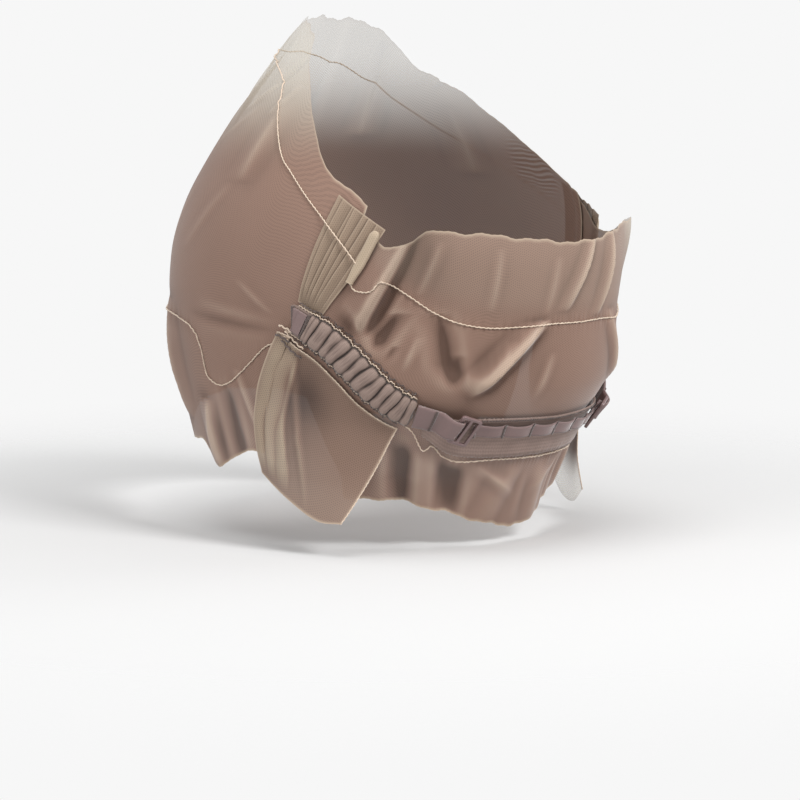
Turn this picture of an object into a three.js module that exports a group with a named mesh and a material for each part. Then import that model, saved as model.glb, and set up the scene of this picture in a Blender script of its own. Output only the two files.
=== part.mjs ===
// A lace wig cap in the form that it has on a head: a front and a back panel of fine lace round an
// open crown, joined by a pleated band at each side, with a gathered elastic casing, an adjusting
// strap and slider at each side, and a nape band with a ribbon of hook loops.
// Millimetres, +Z up. The wearer faces -Y and the wearer's left is +X. The origin is the middle of
// the head at its widest level. Angles run round the head: 0 front, 90 left, 180 back, 270 right.
import * as THREE from "three";

// The head that the cap is cut for. Nothing of it is built.
const headLength = 188;
const headWidth = 152;
const domeHeight = 86;
const leaningHeight = 42; // above this the front lace leaves the head and stands up in a peak
const peakCurl = 0.18; // how fast the peak leans further in

// Cloth and sewing.
const laceWall = 1;
const laceEase = 1.5; // from the head to the middle of the lace
const sewnGap = 0.55; // between a piece and what it is sewn on
const seamGap = 1.2; // degrees between the two lace panels, under the side pleats
const foldDepth = 6; // the deepest fold in the lace
const crownFlare = 12; // how far the spare lace above the back seam can stand out

// Side pleats.
const pleatCount = 4;
const pleatDepth = 1.1;
const rollDepth = 2.4; // the rolled rear edge of the pleats
const rollFrom = 0.82; // where the roll starts and where it is full, as shares of the pleats' width
const rollTo = 0.94;

// Elastic casing, strap, slider and loops.
const casingWidth = 12;
const casingFlat = 1.2; // thickness between two gathers
const casingFull = 3; // thickness on a gather
const gatherCount = 10;
const strapWidth = 10;
const strapThickness = 0.8;
const sliderBar = 1.2;
const sliderSlot = 2.4;
const sliderThickness = 1.2;
const sliderRound = 1.4;
const slotRound = 0.4;
const slotClearance = 0.6; // on each side of the strap in its slot
const slotEntry = 0.88; // where the strap starts down the slot, as a share of the slot from the middle bar
const slotExit = 0.2; // and where it has reached the bottom
const strapClimb = 6.7; // length of strap that rises to the slider
const bandThickness = 0.8;
const ribbonWidth = 6;
const ribbonThickness = 0.7;
const loopCount = 6;
const loopRise = 1.3;

// Ear flaps.
const flapHang = 20; // how far the lower rear corner stands off the lace
const flapBow = 4; // degrees that the front edge bows forward
const flapHangPower = 1.4; // how sharply the flap leaves the lace
const flapBelow = 3; // from the casing's lower edge to the flap's top edge
const flapPleatDepth = 2.2;
const flapPleatCount = 3;
const flapPleated = 0.5; // the share of the flap's width, from its front edge, that has the pleats

// Girth below the widest level, at the face and at the back, as a share of the widest. Heights in
// every table are shares of domeHeight.
const faceAngle = 90; // the girth is the face's up to here and the back's from backAngle on
const backAngle = 150;
const girth = [
  { height: -1.05, face: 0.8, back: 0.64 },
  { height: -0.8, face: 0.86, back: 0.72 },
  { height: -0.6, face: 0.91, back: 0.815 },
  { height: -0.51, face: 0.93, back: 0.86 },
  { height: -0.43, face: 0.945, back: 0.92 },
  { height: -0.34, face: 0.965, back: 0.965 },
  { height: -0.2, face: 0.985, back: 0.99 },
  { height: 0, face: 1, back: 1 },
];

// Outlines: side runs from 0 at the middle of a panel to 1 at its left seam and -1 at its right one.
const frontTop = [
  { side: -1, height: 0.42 },
  { side: -0.92, height: 0.52 },
  { side: -0.83, height: 0.68 },
  { side: -0.73, height: 0.82 },
  { side: -0.62, height: 0.93 },
  { side: -0.52, height: 1.01 },
  { side: -0.43, height: 1.12 },
  { side: -0.33, height: 1.19 },
  { side: 0, height: 1.22 },
  { side: 0.3, height: 1.21 },
  { side: 0.5, height: 1.19 },
  { side: 0.64, height: 1.14 },
  { side: 0.7, height: 1.02 },
  { side: 0.77, height: 0.88 },
  { side: 0.82, height: 0.76 },
  { side: 0.87, height: 0.61 },
  { side: 0.93, height: 0.5 },
  { side: 1, height: 0.42 },
];
const frontBottom = [
  { side: 0, height: -0.54 },
  { side: 0.2, height: -0.57 },
  { side: 0.47, height: -0.69 },
  { side: 0.66, height: -0.67 },
  { side: 0.76, height: -0.77 },
  { side: 0.84, height: -0.73 },
  { side: 0.92, height: -0.68 },
  { side: 1, height: -0.67 },
];
const backTop = [
  { side: 0, height: 0.25 },
  { side: 0.2, height: 0.265 },
  { side: 0.39, height: 0.285 },
  { side: 0.6, height: 0.295 },
  { side: 0.7, height: 0.285 },
  { side: 0.78, height: 0.25 },
  { side: 0.86, height: 0.26 },
  { side: 0.94, height: 0.34 },
  { side: 1, height: 0.4 },
];
const backBottom = [
  { side: 0, height: -1.01 },
  { side: 0.35, height: -0.95 },
  { side: 0.57, height: -0.9 },
  { side: 0.74, height: -0.86 },
  { side: 1, height: -0.85 },
];

// The seam at each side: where the front panel ends and the back panel begins, height by height.
const seamLine = [
  { height: -0.75, front: 89, back: 112 },
  { height: -0.58, front: 92, back: 108 },
  { height: -0.35, front: 95, back: 104 },
  { height: -0.14, front: 101, back: 101 },
  { height: 0, front: 107, back: 107 },
  { height: 0.23, front: 115, back: 115 },
  { height: 0.47, front: 120, back: 120 },
];

// The upper hairline round the back. Above it the spare lace flares out by a share of crownFlare, which
// it reaches at crownEdge.
const crownEdge = 0.36;
const flareFrom = 112; // the degrees from the face where the flare starts and where it is full
const flareFull = 122;
const crownSeam = [
  { angle: 118, height: 0.2, flare: 0.04 },
  { angle: 126, height: 0.09, flare: 0.15 },
  { angle: 132, height: 0.03, flare: 0.4 },
  { angle: 138, height: -0.02, flare: 0.95 },
  { angle: 145, height: -0.06, flare: 0.6 },
  { angle: 157, height: -0.09, flare: 0.38 },
  { angle: 180, height: -0.1, flare: 0.33 },
];

// The line that the elastic and the nape band hold to the head.
const heldLine = [
  { angle: 104, height: -0.06 },
  { angle: 112, height: -0.145 },
  { angle: 118, height: -0.24 },
  { angle: 124, height: -0.345 },
  { angle: 130, height: -0.415 },
  { angle: 135, height: -0.445 },
  { angle: 142, height: -0.48 },
  { angle: 150, height: -0.53 },
  { angle: 180, height: -0.55 },
];
const heldReach = (0.9 * casingWidth) / domeHeight; // folds are flat this near the line
const heldFade = 0.11; // and have their full depth this much further
const heldFrom = 97; // the degrees from the face where the holding starts and where it is full
const heldFull = 104;

// Folds: a crest from one point to another, its rise as a share of foldDepth, and the degrees that it
// takes to fall on its front side and on its rear side. A fold with a negative rise is a furrow.
const folds = [
  { from: 118, low: -0.14, to: 137, high: 0.34, rise: 0.95, front: 9, rear: 3.5 },
  { from: 238, low: 0.02, to: 224, high: 0.34, rise: 0.8, front: 3.5, rear: 9 },
  { from: 144, low: -0.46, to: 178, high: 0.02, rise: 0.85, front: 12, rear: 5 },
  { from: 214, low: -0.46, to: 197, high: -0.04, rise: 0.45, front: 5, rear: 10 },
  { from: 143, low: -0.43, to: 139, high: -0.02, rise: -0.4, front: 6, rear: 5 },
  { from: 121, low: -0.22, to: 129, high: -0.02, rise: -0.4, front: 4, rear: 5 },
  { from: 189, low: -0.08, to: 196, high: 0.28, rise: 0.4, front: 4, rear: 3 },
  { from: 201, low: -0.1, to: 207, high: 0.3, rise: 0.45, front: 3, rear: 5 },
  { from: 162, low: -1.02, to: 172, high: -0.66, rise: 0.4, front: 7, rear: 6 },
  { from: 191, low: -1.05, to: 186, high: -0.64, rise: 0.4, front: 6, rear: 8 },
  { from: 150, low: -0.98, to: 150, high: -0.62, rise: -0.3, front: 6, rear: 5 },
  { from: 136, low: -0.95, to: 137, high: -0.56, rise: 0.45, front: 6, rear: 6 },
  { from: 208, low: -1.0, to: 205, high: -0.6, rise: -0.3, front: 7, rear: 6 },
  { from: 225, low: -0.95, to: 222, high: -0.58, rise: 0.4, front: 6, rear: 7 },
  { from: 70, low: -0.8, to: 69, high: -0.46, rise: 0.5, front: 7, rear: 4 },
  { from: 81, low: -0.75, to: 79, high: -0.38, rise: -0.3, front: 5, rear: 5 },
  { from: 291, low: -0.78, to: 287, high: -0.42, rise: 0.45, front: 6, rear: 6 },
  { from: 49, low: -0.58, to: 44, high: -0.04, rise: 0.55, front: 14, rear: 11 },
  { from: 309, low: -0.6, to: 315, high: -0.06, rise: 0.45, front: 10, rear: 14 },
  { from: 12, low: -0.6, to: 20, high: -0.05, rise: 0.35, front: 12, rear: 10 },
  { from: 340, low: -0.62, to: 334, high: -0.1, rise: 0.35, front: 10, rear: 12 },
  { from: 24, low: 0.62, to: 58, high: 1.12, rise: -0.45, front: 9, rear: 6 },
  { from: 5, low: 0.7, to: 28, high: 1.2, rise: 0.4, front: 10, rear: 8 },
  { from: 318, low: 0.66, to: 310, high: 1.1, rise: 0.45, front: 8, rear: 8 },
  { from: 344, low: 0.6, to: 338, high: 1.2, rise: -0.4, front: 8, rear: 8 },
  { from: 78, low: 0.5, to: 84, high: 0.86, rise: 0.35, front: 6, rear: 5 },
  { from: 280, low: 0.48, to: 284, high: 0.8, rise: 0.35, front: 5, rear: 6 },
];

// Corners of the side pleats: angle and height at the foot and at the top of each long edge.
const pleatFront = { footAngle: 102.5, footHeight: 0.025, topAngle: 113.5, topHeight: 0.46 };
const pleatRear = { footAngle: 116.5, footHeight: 0.03, topAngle: 127, topHeight: 0.31 };

// The free outline of an ear flap, from its front edge to its rear edge. Its top edge follows the casing,
// and along is the share of the casing's length there.
const flapOutline = [
  { side: 0, along: -0.1, footAngle: 95, footHeight: -0.73 },
  { side: 0.35, along: 0.24, footAngle: 102, footHeight: -0.83 },
  { side: 0.7, along: 0.62, footAngle: 109.5, footHeight: -0.915 },
  { side: 1, along: 0.94, footAngle: 115.5, footHeight: -0.92 },
];

// The nape band's two edges, from its end at the side to the middle of the back.
const bandEdges = [
  { angle: 136, upper: -0.46, lower: -0.545 },
  { angle: 144, upper: -0.465, lower: -0.625 },
  { angle: 155, upper: -0.465, lower: -0.65 },
  { angle: 180, upper: -0.475, lower: -0.655 },
];

// Strap and ribbon lines.
const strapStart = { angle: 133.8, height: -0.44 };
const strapEnd = { angle: 148, height: -0.5 };
const ribbonEndHeight = -0.51;
const ribbonMiddleHeight = -0.52;
const casingStart = 103.5;
const casingEnd = 133.2;

// Grid steps, enough for each piece's own curves and folds.
const frontGrid = { across: 48, up: 15 };
const backGrid = { across: 44, up: 20 };
const pleatGrid = { across: 15, up: 5 };
const flapGrid = { across: 14, up: 7 };
const stepsPerGather = 4;
const casingSteps = 4;
const stepsPerLoop = 5;
const strapSteps = 40;
const bandGrid = { across: 28, up: 3 };

const degree = Math.PI / 180;
const smooth = (t) => THREE.MathUtils.smoothstep(t, 0, 1);
const mix = THREE.MathUtils.lerp;

// The value of a column of a table at a key, on a smooth curve through its rows.
function readTable(table, key, column, at) {
  const last = table.length - 1;
  if (at <= table[0][key]) return table[0][column];
  if (at >= table[last][key]) return table[last][column];
  const i = table.findIndex((row) => row[key] > at) - 1;
  const slope = (k) => {
    const a = table[Math.max(k - 1, 0)];
    const b = table[Math.min(k + 1, last)];
    return (b[column] - a[column]) / (b[key] - a[key]);
  };
  const step = table[i + 1][key] - table[i][key];
  const t = (at - table[i][key]) / step;
  return (
    table[i][column] * (1 + 2 * t) * (1 - t) ** 2 +
    slope(i) * step * t * (1 - t) ** 2 +
    table[i + 1][column] * t * t * (3 - 2 * t) +
    slope(i + 1) * step * t * t * (t - 1)
  );
}

// An angle folded to the left half of the head, 0 at the front and 180 at the back.
function fromFront(angle) {
  const turned = ((angle % 360) + 360) % 360;
  return Math.min(turned, 360 - turned);
}

// The head's girth at a height, as a share of its widest.
function girthShare(angle, height) {
  const share = height / domeHeight;
  const from = leaningHeight / domeHeight;
  if (share > from) {
    const narrowed = Math.sqrt(1 - from ** 2);
    return narrowed - (from / narrowed) * (share - from) - peakCurl * (share - from) ** 2;
  }
  if (share > 0) return Math.sqrt(1 - share ** 2);
  const face = readTable(girth, "height", "face", share);
  const back = readTable(girth, "height", "back", share);
  return mix(face, back, smooth((fromFront(angle) - faceAngle) / (backAngle - faceAngle)));
}

// A point on the head form.
function onHead(angle, height) {
  const share = girthShare(angle, height);
  const x = (headWidth / 2) * share * Math.sin(angle * degree);
  const y = (-headLength / 2) * share * Math.cos(angle * degree);
  return new THREE.Vector3(x, y, height);
}

// Steps along the head form for one degree round and for one millimetre up.
function headSteps(angle, height) {
  const round = onHead(angle + 0.5, height).sub(onHead(angle - 0.5, height));
  const rise = onHead(angle, height + 0.5).sub(onHead(angle, height - 0.5));
  return { round, rise };
}

// A point a given lift outside the head form, square to it.
function overHead(angle, height, lift) {
  const { round, rise } = headSteps(angle, height);
  return onHead(angle, height).addScaledVector(round.cross(rise).normalize(), lift);
}

// How far one fold lifts the lace at a point.
function foldLift(fold, angle, height) {
  const share = height / domeHeight;
  const t = (share - fold.low) / (fold.high - fold.low);
  if (t <= 0 || t >= 1) return 0;
  const away = angle - mix(fold.from, fold.to, t);
  const reach = away < 0 ? fold.front : fold.rear;
  if (Math.abs(away) >= reach) return 0;
  const profile = Math.cos((Math.PI / 2) * (away / reach)) ** 2;
  return foldDepth * fold.rise * profile * Math.sin(Math.PI * t) ** 0.7;
}

// The middle of the lace, measured out from the head form: its ease, its folds and its flared crown edge.
function laceLift(angle, height) {
  const side = fromFront(angle);
  const turned = ((angle % 360) + 360) % 360;
  const share = height / domeHeight;
  const held = readTable(heldLine, "angle", "height", side);
  const atLine = 1 - smooth((Math.abs(share - held) - heldReach) / heldFade);
  const free = 1 - atLine * smooth((side - heldFrom) / (heldFull - heldFrom));
  const folded = folds.reduce((sum, fold) => sum + foldLift(fold, turned, height), 0);
  const seam = readTable(crownSeam, "angle", "height", side);
  const risen = smooth((share - seam) / (crownEdge - seam));
  const spread = smooth((side - flareFrom) / (flareFull - flareFrom));
  const flare = crownFlare * risen * spread * readTable(crownSeam, "angle", "flare", side);
  return laceEase + free * folded + flare;
}

// A closed wall: a box whose faces are bent to the surface place(u, v), half the thickness to each side.
function wallGeometry(place, across, up, thickness) {
  const box = new THREE.BoxGeometry(1, 1, 1, across, up, 1);
  const corners = box.getAttribute("position");
  const reach = 0.004;
  for (let i = 0; i < corners.count; i++) {
    const u = corners.getX(i) + 0.5;
    const v = corners.getY(i) + 0.5;
    const alongU = place(u + reach, v).sub(place(u - reach, v));
    const alongV = place(u, v + reach).sub(place(u, v - reach));
    const out = alongU.cross(alongV).normalize();
    const point = place(u, v).addScaledVector(out, corners.getZ(i) * thickness(u, v));
    corners.setXYZ(i, point.x, point.y, point.z);
  }
  box.computeVertexNormals();
  return box;
}

const evenWall = (thickness) => () => thickness;

function frontLace() {
  const place = (u, v) => {
    const turn = 2 * u - 1;
    const side = Math.abs(turn);
    const low = readTable(frontBottom, "side", "height", side);
    const high = readTable(frontTop, "side", "height", turn);
    const height = mix(low, high, v);
    const end = readTable(seamLine, "height", "front", height) - seamGap / 2;
    return overHead(turn * end, height * domeHeight, laceLift(turn * end, height * domeHeight));
  };
  return wallGeometry(place, frontGrid.across, frontGrid.up, evenWall(laceWall));
}

function backLace() {
  const place = (u, v) => {
    const turn = 2 * u - 1;
    const side = Math.abs(turn);
    const low = readTable(backBottom, "side", "height", side);
    const high = readTable(backTop, "side", "height", side);
    const height = mix(low, high, v);
    const end = 180 - readTable(seamLine, "height", "back", height) - seamGap / 2;
    const angle = 180 + turn * end;
    return overHead(angle, height * domeHeight, laceLift(angle, height * domeHeight));
  };
  return wallGeometry(place, backGrid.across, backGrid.up, evenWall(laceWall));
}

// The lift of the middle of a piece that is sewn on the lace with others already under it.
function sewnOn(angle, height, under, thickness) {
  return laceLift(angle, height) + laceWall / 2 + sewnGap + under + thickness / 2;
}

function sidePleats() {
  const place = (u, v) => {
    const front = mix(pleatFront.footAngle, pleatFront.topAngle, v);
    const rear = mix(pleatRear.footAngle, pleatRear.topAngle, v);
    const low = mix(pleatFront.footHeight, pleatRear.footHeight, u);
    const high = mix(pleatFront.topHeight, pleatRear.topHeight, u);
    const angle = mix(front, rear, u);
    const height = mix(low, high, v) * domeHeight;
    const pleats = pleatDepth * Math.abs(Math.sin(Math.PI * pleatCount * u));
    const roll = rollDepth * smooth((u - rollFrom) / (rollTo - rollFrom));
    return overHead(angle, height, sewnOn(angle, height, 0, laceWall) + pleats + roll);
  };
  return wallGeometry(place, pleatGrid.across, pleatGrid.up, evenWall(laceWall));
}

// The angle and height of a point a given way above a line on the head, square to the line.
function besideLine(line, t, off) {
  const at = line(t);
  const ahead = line(t + 0.01);
  const before = line(t - 0.01);
  const { round, rise } = headSteps(at.angle, at.height);
  const along = round.clone().multiplyScalar(ahead.angle - before.angle);
  along.addScaledVector(rise, ahead.height - before.height);
  const across = round.clone().cross(rise).cross(along).normalize();
  const skew = round.dot(rise);
  const share = off / (round.lengthSq() * rise.lengthSq() - skew ** 2);
  return {
    angle: at.angle + share * (across.dot(round) * rise.lengthSq() - across.dot(rise) * skew),
    height: at.height + share * (across.dot(rise) * round.lengthSq() - across.dot(round) * skew),
  };
}

// A strip of a given width along a line on the head.
function stripPlace(line, width, lift) {
  return (u, v) => {
    const { angle, height } = besideLine(line, u, (v - 0.5) * width(u));
    return overHead(angle, height, lift(angle, height, u, v));
  };
}

function casingLine(t) {
  const angle = mix(casingStart, casingEnd, t);
  return { angle, height: readTable(heldLine, "angle", "height", angle) * domeHeight };
}

function earFlap() {
  const place = (u, v) => {
    const along = readTable(flapOutline, "side", "along", u);
    const top = besideLine(casingLine, along, -casingWidth / 2 - flapBelow);
    const footAngle = readTable(flapOutline, "side", "footAngle", u);
    const footHeight = readTable(flapOutline, "side", "footHeight", u) * domeHeight;
    const angle = mix(footAngle, top.angle, v) - flapBow * Math.sin(Math.PI * v) * (1 - u) ** 2;
    const height = mix(footHeight, top.height, v);
    const hang = flapHang * mix(0.5, 1, u) * Math.max(1 - v, 0) ** flapHangPower;
    const level = onHead(angle, 0).normalize().multiplyScalar(hang);
    const pleated = smooth((flapPleated - u) / 0.2) * smooth(4 * v) * smooth((1 - v) / 0.35);
    const pleats = flapPleatDepth * pleated * Math.sin((Math.PI * flapPleatCount * u) / flapPleated) ** 2;
    return overHead(angle, height, sewnOn(angle, height, 0, laceWall) + pleats).add(level);
  };
  return wallGeometry(place, flapGrid.across, flapGrid.up, evenWall(laceWall));
}

function elasticCasing() {
  const gather = (t) => Math.abs(Math.sin(Math.PI * gatherCount * t)) ** 0.7;
  const thickness = (u, v) => mix(casingFlat, casingFull, gather(u) * (1 - (2 * v - 1) ** 4));
  const width = (u) => casingWidth * mix(0.9, 1, gather(u));
  const lift = (angle, height, u, v) => sewnOn(angle, height, 0, thickness(u, v));
  const place = stripPlace(casingLine, width, lift);
  return wallGeometry(place, gatherCount * stepsPerGather, casingSteps, thickness);
}

const strapUnder = bandThickness + sewnGap;
const sliderLength = 3 * sliderBar + 2 * sliderSlot;
const sliderHeight = strapWidth + 2 * (slotClearance + sliderBar);
const sliderUnder = strapUnder + strapThickness + sewnGap;
const strapLine = (t) => ({
  angle: mix(strapStart.angle, strapEnd.angle, t),
  height: mix(strapStart.height, strapEnd.height, t) * domeHeight,
});

function linePoint(line, t, under) {
  const at = line(t);
  return overHead(at.angle, at.height, sewnOn(at.angle, at.height, under, 0));
}

const strapLength = linePoint(strapLine, 0, strapUnder).distanceTo(linePoint(strapLine, 1, strapUnder));
const sliderMiddle = 1 - sliderBar / 2 / strapLength;

// The strap runs from the casing over the slider's first bar, down through the first slot and under the
// middle bar.
function adjusterStrap() {
  const over = sliderThickness + sewnGap + strapThickness + sewnGap;
  const slotFrom = sliderMiddle - (sliderBar / 2 + sliderSlot * slotEntry) / strapLength;
  const slotTo = sliderMiddle - (sliderBar / 2 + sliderSlot * slotExit) / strapLength;
  const climbFrom = sliderMiddle - (sliderLength / 2 + strapClimb) / strapLength;
  const climb = (strapClimb - sliderBar) / strapLength;
  const lift = (angle, height, u) => {
    const risen = smooth((u - climbFrom) / climb);
    const dipped = THREE.MathUtils.clamp((u - slotFrom) / (slotTo - slotFrom), 0, 1);
    return sewnOn(angle, height, strapUnder, strapThickness) + over * risen * (1 - dipped);
  };
  const place = stripPlace(strapLine, () => strapWidth, lift);
  return wallGeometry(place, strapSteps, 1, evenWall(strapThickness));
}

// The corner points of a rectangle with rounded corners, its middle at a given x.
function roundedOutline(middle, length, height, radius) {
  const points = [];
  for (let corner = 0; corner < 4; corner++) {
    const right = corner === 0 || corner === 3 ? 1 : -1;
    const top = corner < 2 ? 1 : -1;
    for (let step = 0; step <= 2; step++) {
      const turn = ((corner + step / 2) * Math.PI) / 2;
      const x = middle + right * (length / 2 - radius) + radius * Math.cos(turn);
      const y = top * (height / 2 - radius) + radius * Math.sin(turn);
      points.push(new THREE.Vector2(x, y));
    }
  }
  return points;
}

// A flat frame with two slots, laid square to the strap.
function slider() {
  const frame = new THREE.Shape(roundedOutline(0, sliderLength, sliderHeight, sliderRound));
  const slotHeight = strapWidth + 2 * slotClearance;
  for (const side of [-1, 1]) {
    const middle = (side * (sliderBar + sliderSlot)) / 2;
    frame.holes.push(new THREE.Path(roundedOutline(middle, sliderSlot, slotHeight, slotRound)));
  }
  const solid = new THREE.ExtrudeGeometry(frame, { depth: sliderThickness, bevelEnabled: false });
  const level = stripPlace(strapLine, () => strapWidth, (angle, height) => {
    return sewnOn(angle, height, sliderUnder, 0);
  });
  const lower = level(sliderMiddle, 0);
  const upper = level(sliderMiddle, 1);
  const centre = lower.clone().lerp(upper, 0.5);
  const across = upper.sub(lower).normalize();
  const ahead = level(sliderMiddle + 0.05, 0.5).sub(level(sliderMiddle - 0.05, 0.5));
  const out = ahead.cross(across).normalize();
  const along = across.clone().cross(out);
  return solid.applyMatrix4(new THREE.Matrix4().makeBasis(along, across, out).setPosition(centre));
}

function napeBand() {
  const end = 180 - bandEdges[0].angle;
  const place = (u, v) => {
    const angle = 180 + (2 * u - 1) * end;
    const upper = readTable(bandEdges, "angle", "upper", fromFront(angle));
    const lower = readTable(bandEdges, "angle", "lower", fromFront(angle));
    const height = mix(lower, upper, v) * domeHeight;
    return overHead(angle, height, sewnOn(angle, height, 0, bandThickness));
  };
  return wallGeometry(place, bandGrid.across, bandGrid.up, evenWall(bandThickness));
}

// The narrow ribbon, sewn down between its loops, from under the last bar of one slider to the other's.
function loopRibbon() {
  const perDegree = headSteps(strapEnd.angle, strapEnd.height * domeHeight).round.length();
  const start = strapEnd.angle + (sliderSlot + sliderBar / 2) / perDegree;
  const line = (t) => {
    const sag = 1 - Math.abs(2 * t - 1) ** 2;
    const height = mix(ribbonEndHeight, ribbonMiddleHeight, sag) * domeHeight;
    return { angle: mix(start, 360 - start, t), height };
  };
  const lift = (angle, height, u) => {
    const loop = Math.abs(Math.sin(Math.PI * loopCount * u));
    const inner = smooth(u * loopCount) * smooth((1 - u) * loopCount);
    return sewnOn(angle, height, strapUnder, ribbonThickness) + loopRise * loop * inner;
  };
  const place = stripPlace(line, () => ribbonWidth, lift);
  return wallGeometry(place, loopCount * stepsPerLoop, 1, evenWall(ribbonThickness));
}

function cloth(colour) {
  return new THREE.MeshStandardMaterial({ color: colour, roughness: 0.85, metalness: 0 });
}

const lace = cloth(0xa58c78);
const pleatedLace = cloth(0x988570);
const elastic = cloth(0x8b7b74);
const satin = cloth(0x86717a);
const coated = new THREE.MeshStandardMaterial({ color: 0x7d6a72, roughness: 0.45, metalness: 0.1 });

function named(name, geometry, material) {
  const mesh = new THREE.Mesh(geometry, material);
  mesh.name = name;
  return mesh;
}

const sidePieces = [
  { name: "side_pleats", geometry: sidePleats(), material: pleatedLace },
  { name: "ear_flap", geometry: earFlap(), material: lace },
  { name: "elastic_casing", geometry: elasticCasing(), material: elastic },
  { name: "adjuster_strap", geometry: adjusterStrap(), material: satin },
  { name: "slider", geometry: slider(), material: coated },
];

const cap = new THREE.Group();
cap.add(named("front_lace", frontLace(), lace));
cap.add(named("back_lace", backLace(), lace));
cap.add(named("nape_band", napeBand(), elastic));
cap.add(named("loop_ribbon", loopRibbon(), satin));
for (const [side, mirror] of [["left", 1], ["right", -1]]) {
  const half = new THREE.Group();
  half.scale.x = mirror;
  sidePieces.forEach((p) => half.add(named(`${p.name}_${side}`, p.geometry, p.material)));
  cap.add(half);
}

export default cap;
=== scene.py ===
import math

import bmesh
import bpy
import numpy as np
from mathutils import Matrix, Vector


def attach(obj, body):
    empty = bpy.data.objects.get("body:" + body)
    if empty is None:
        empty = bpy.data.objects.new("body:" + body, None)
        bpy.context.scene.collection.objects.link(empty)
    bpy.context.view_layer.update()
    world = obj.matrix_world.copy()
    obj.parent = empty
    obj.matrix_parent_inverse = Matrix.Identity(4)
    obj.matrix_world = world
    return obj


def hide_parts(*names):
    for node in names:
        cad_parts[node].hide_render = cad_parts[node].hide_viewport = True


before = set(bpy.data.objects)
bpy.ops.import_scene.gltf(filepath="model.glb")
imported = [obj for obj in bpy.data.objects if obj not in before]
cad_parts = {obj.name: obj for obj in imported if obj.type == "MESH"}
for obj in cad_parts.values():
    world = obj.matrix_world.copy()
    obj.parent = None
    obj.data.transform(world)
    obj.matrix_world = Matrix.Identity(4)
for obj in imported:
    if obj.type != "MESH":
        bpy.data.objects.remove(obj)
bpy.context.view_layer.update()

MM = 0.001

# The head form and the cloth on it, as the solids have them.
HEAD_LENGTH = 188
HEAD_WIDTH = 152
DOME_HEIGHT = 86
LEANING = 42 / DOME_HEIGHT
PEAK_CURL = 0.18
FACE_ANGLE = 90
BACK_ANGLE = 150
LACE_WALL = 1
LACE_EASE = 1.5
SEWN_GAP = 0.55
SEAM_GAP = 1.2
SEAM_ALLOWANCE = 3.0
ALLOWANCE_FROM = -0.2  # the height where the front lace starts to go in under the side pleats
TUCK = 0.6  # how much nearer to the head it lies there
FOLD_DEPTH = 6
FOLD_CRISPNESS = 1.4
FOLD_ENDS = 0.7  # the smaller, the blunter a fold's two ends
NAPE_HANGS = -0.66  # below this the lace hangs free, in softer folds
NAPE_FADE = 0.12
PUCKER_HEIGHT = 0.18
PUCKER_REACH = 3.2  # from a thread to where its puckers fade
PUCKER_ENDS = 3  # degrees in which they fade towards the thread's ends
CROWN_FLARE = 12
CROWN_EDGE = 0.36
FLARE_FROM = 112  # the angle where the spare lace at the crown starts to stand off
FLARE_FADE = 10
LOW_CUT = 0.5  # how far the hand-cut edges wander, below, at the front's top and at the back's
FRONT_CUT = 1.0
BACK_CUT = 0.6
CASING_WIDTH = 12
STRAP_WIDTH = 10
STRAP_THICKNESS = 0.8
STRAP_CLOTH = 0.7  # the strap as it is drawn here
STRAP_CLIMB = 6.7  # length of strap that rises to the slider
SATIN_THICKNESS = 0.5  # the ribbon and the end tab, as they are drawn here
SLIDER_BAR = 1.2
SLIDER_SLOT = 2.4
SLIDER_THICKNESS = 1.2
SLIDER_CORNER = 1.1
SLIDER_EDGE = 0.28
SLOT_CLEARANCE = 0.6
SLOT_ENTRY = 0.88  # where the strap starts down the slot, as a share of the slot from the middle bar
SLOT_EXIT = 0.2  # and where it has reached the bottom
BAND_THICKNESS = 0.8
RIBBON_WIDTH = 6
RIBBON_THICKNESS = 0.7
LOOP_COUNT = 6
LOOP_RISE = 1.3
FLAP_BELOW = 3  # from the casing's lower edge to the flap's top edge
FLAP_BOW = 4  # degrees that the front edge bows forward
FLAP_HANG_POWER = 1.4  # how sharply the flap leaves the lace
TACK_THICKNESS = 0.22
THREAD_SIDES = 6
OUTWARD = [1, 1, 0.4]  # a point on the head times this points out of the head

GIRTH = [  # height, girth at the face, girth at the back
    (-1.05, 0.8, 0.64),
    (-0.8, 0.86, 0.72),
    (-0.6, 0.91, 0.815),
    (-0.51, 0.93, 0.86),
    (-0.43, 0.945, 0.92),
    (-0.34, 0.965, 0.965),
    (-0.2, 0.985, 0.99),
    (0, 1, 1),
]
FRONT_TOP = [  # side, height
    (-1, 0.42),
    (-0.92, 0.52),
    (-0.83, 0.68),
    (-0.73, 0.82),
    (-0.62, 0.93),
    (-0.52, 1.01),
    (-0.43, 1.12),
    (-0.33, 1.19),
    (0, 1.22),
    (0.3, 1.21),
    (0.5, 1.19),
    (0.64, 1.14),
    (0.7, 1.02),
    (0.77, 0.88),
    (0.82, 0.76),
    (0.87, 0.61),
    (0.93, 0.5),
    (1, 0.42),
]
FRONT_BOTTOM = [
    (0, -0.54),
    (0.2, -0.57),
    (0.47, -0.69),
    (0.66, -0.67),
    (0.76, -0.77),
    (0.84, -0.73),
    (0.92, -0.68),
    (1, -0.67),
]
BACK_TOP = [
    (0, 0.25),
    (0.2, 0.265),
    (0.39, 0.285),
    (0.6, 0.295),
    (0.7, 0.285),
    (0.78, 0.25),
    (0.86, 0.26),
    (0.94, 0.34),
    (1, 0.4),
]
BACK_BOTTOM = [
    (0, -1.01),
    (0.35, -0.95),
    (0.57, -0.9),
    (0.74, -0.86),
    (1, -0.85),
]
SEAM_LINE = [  # height, end of the front panel, start of the back panel
    (-0.75, 89, 112),
    (-0.58, 92, 108),
    (-0.35, 95, 104),
    (-0.14, 101, 101),
    (0, 107, 107),
    (0.23, 115, 115),
    (0.47, 120, 120),
]
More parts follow.
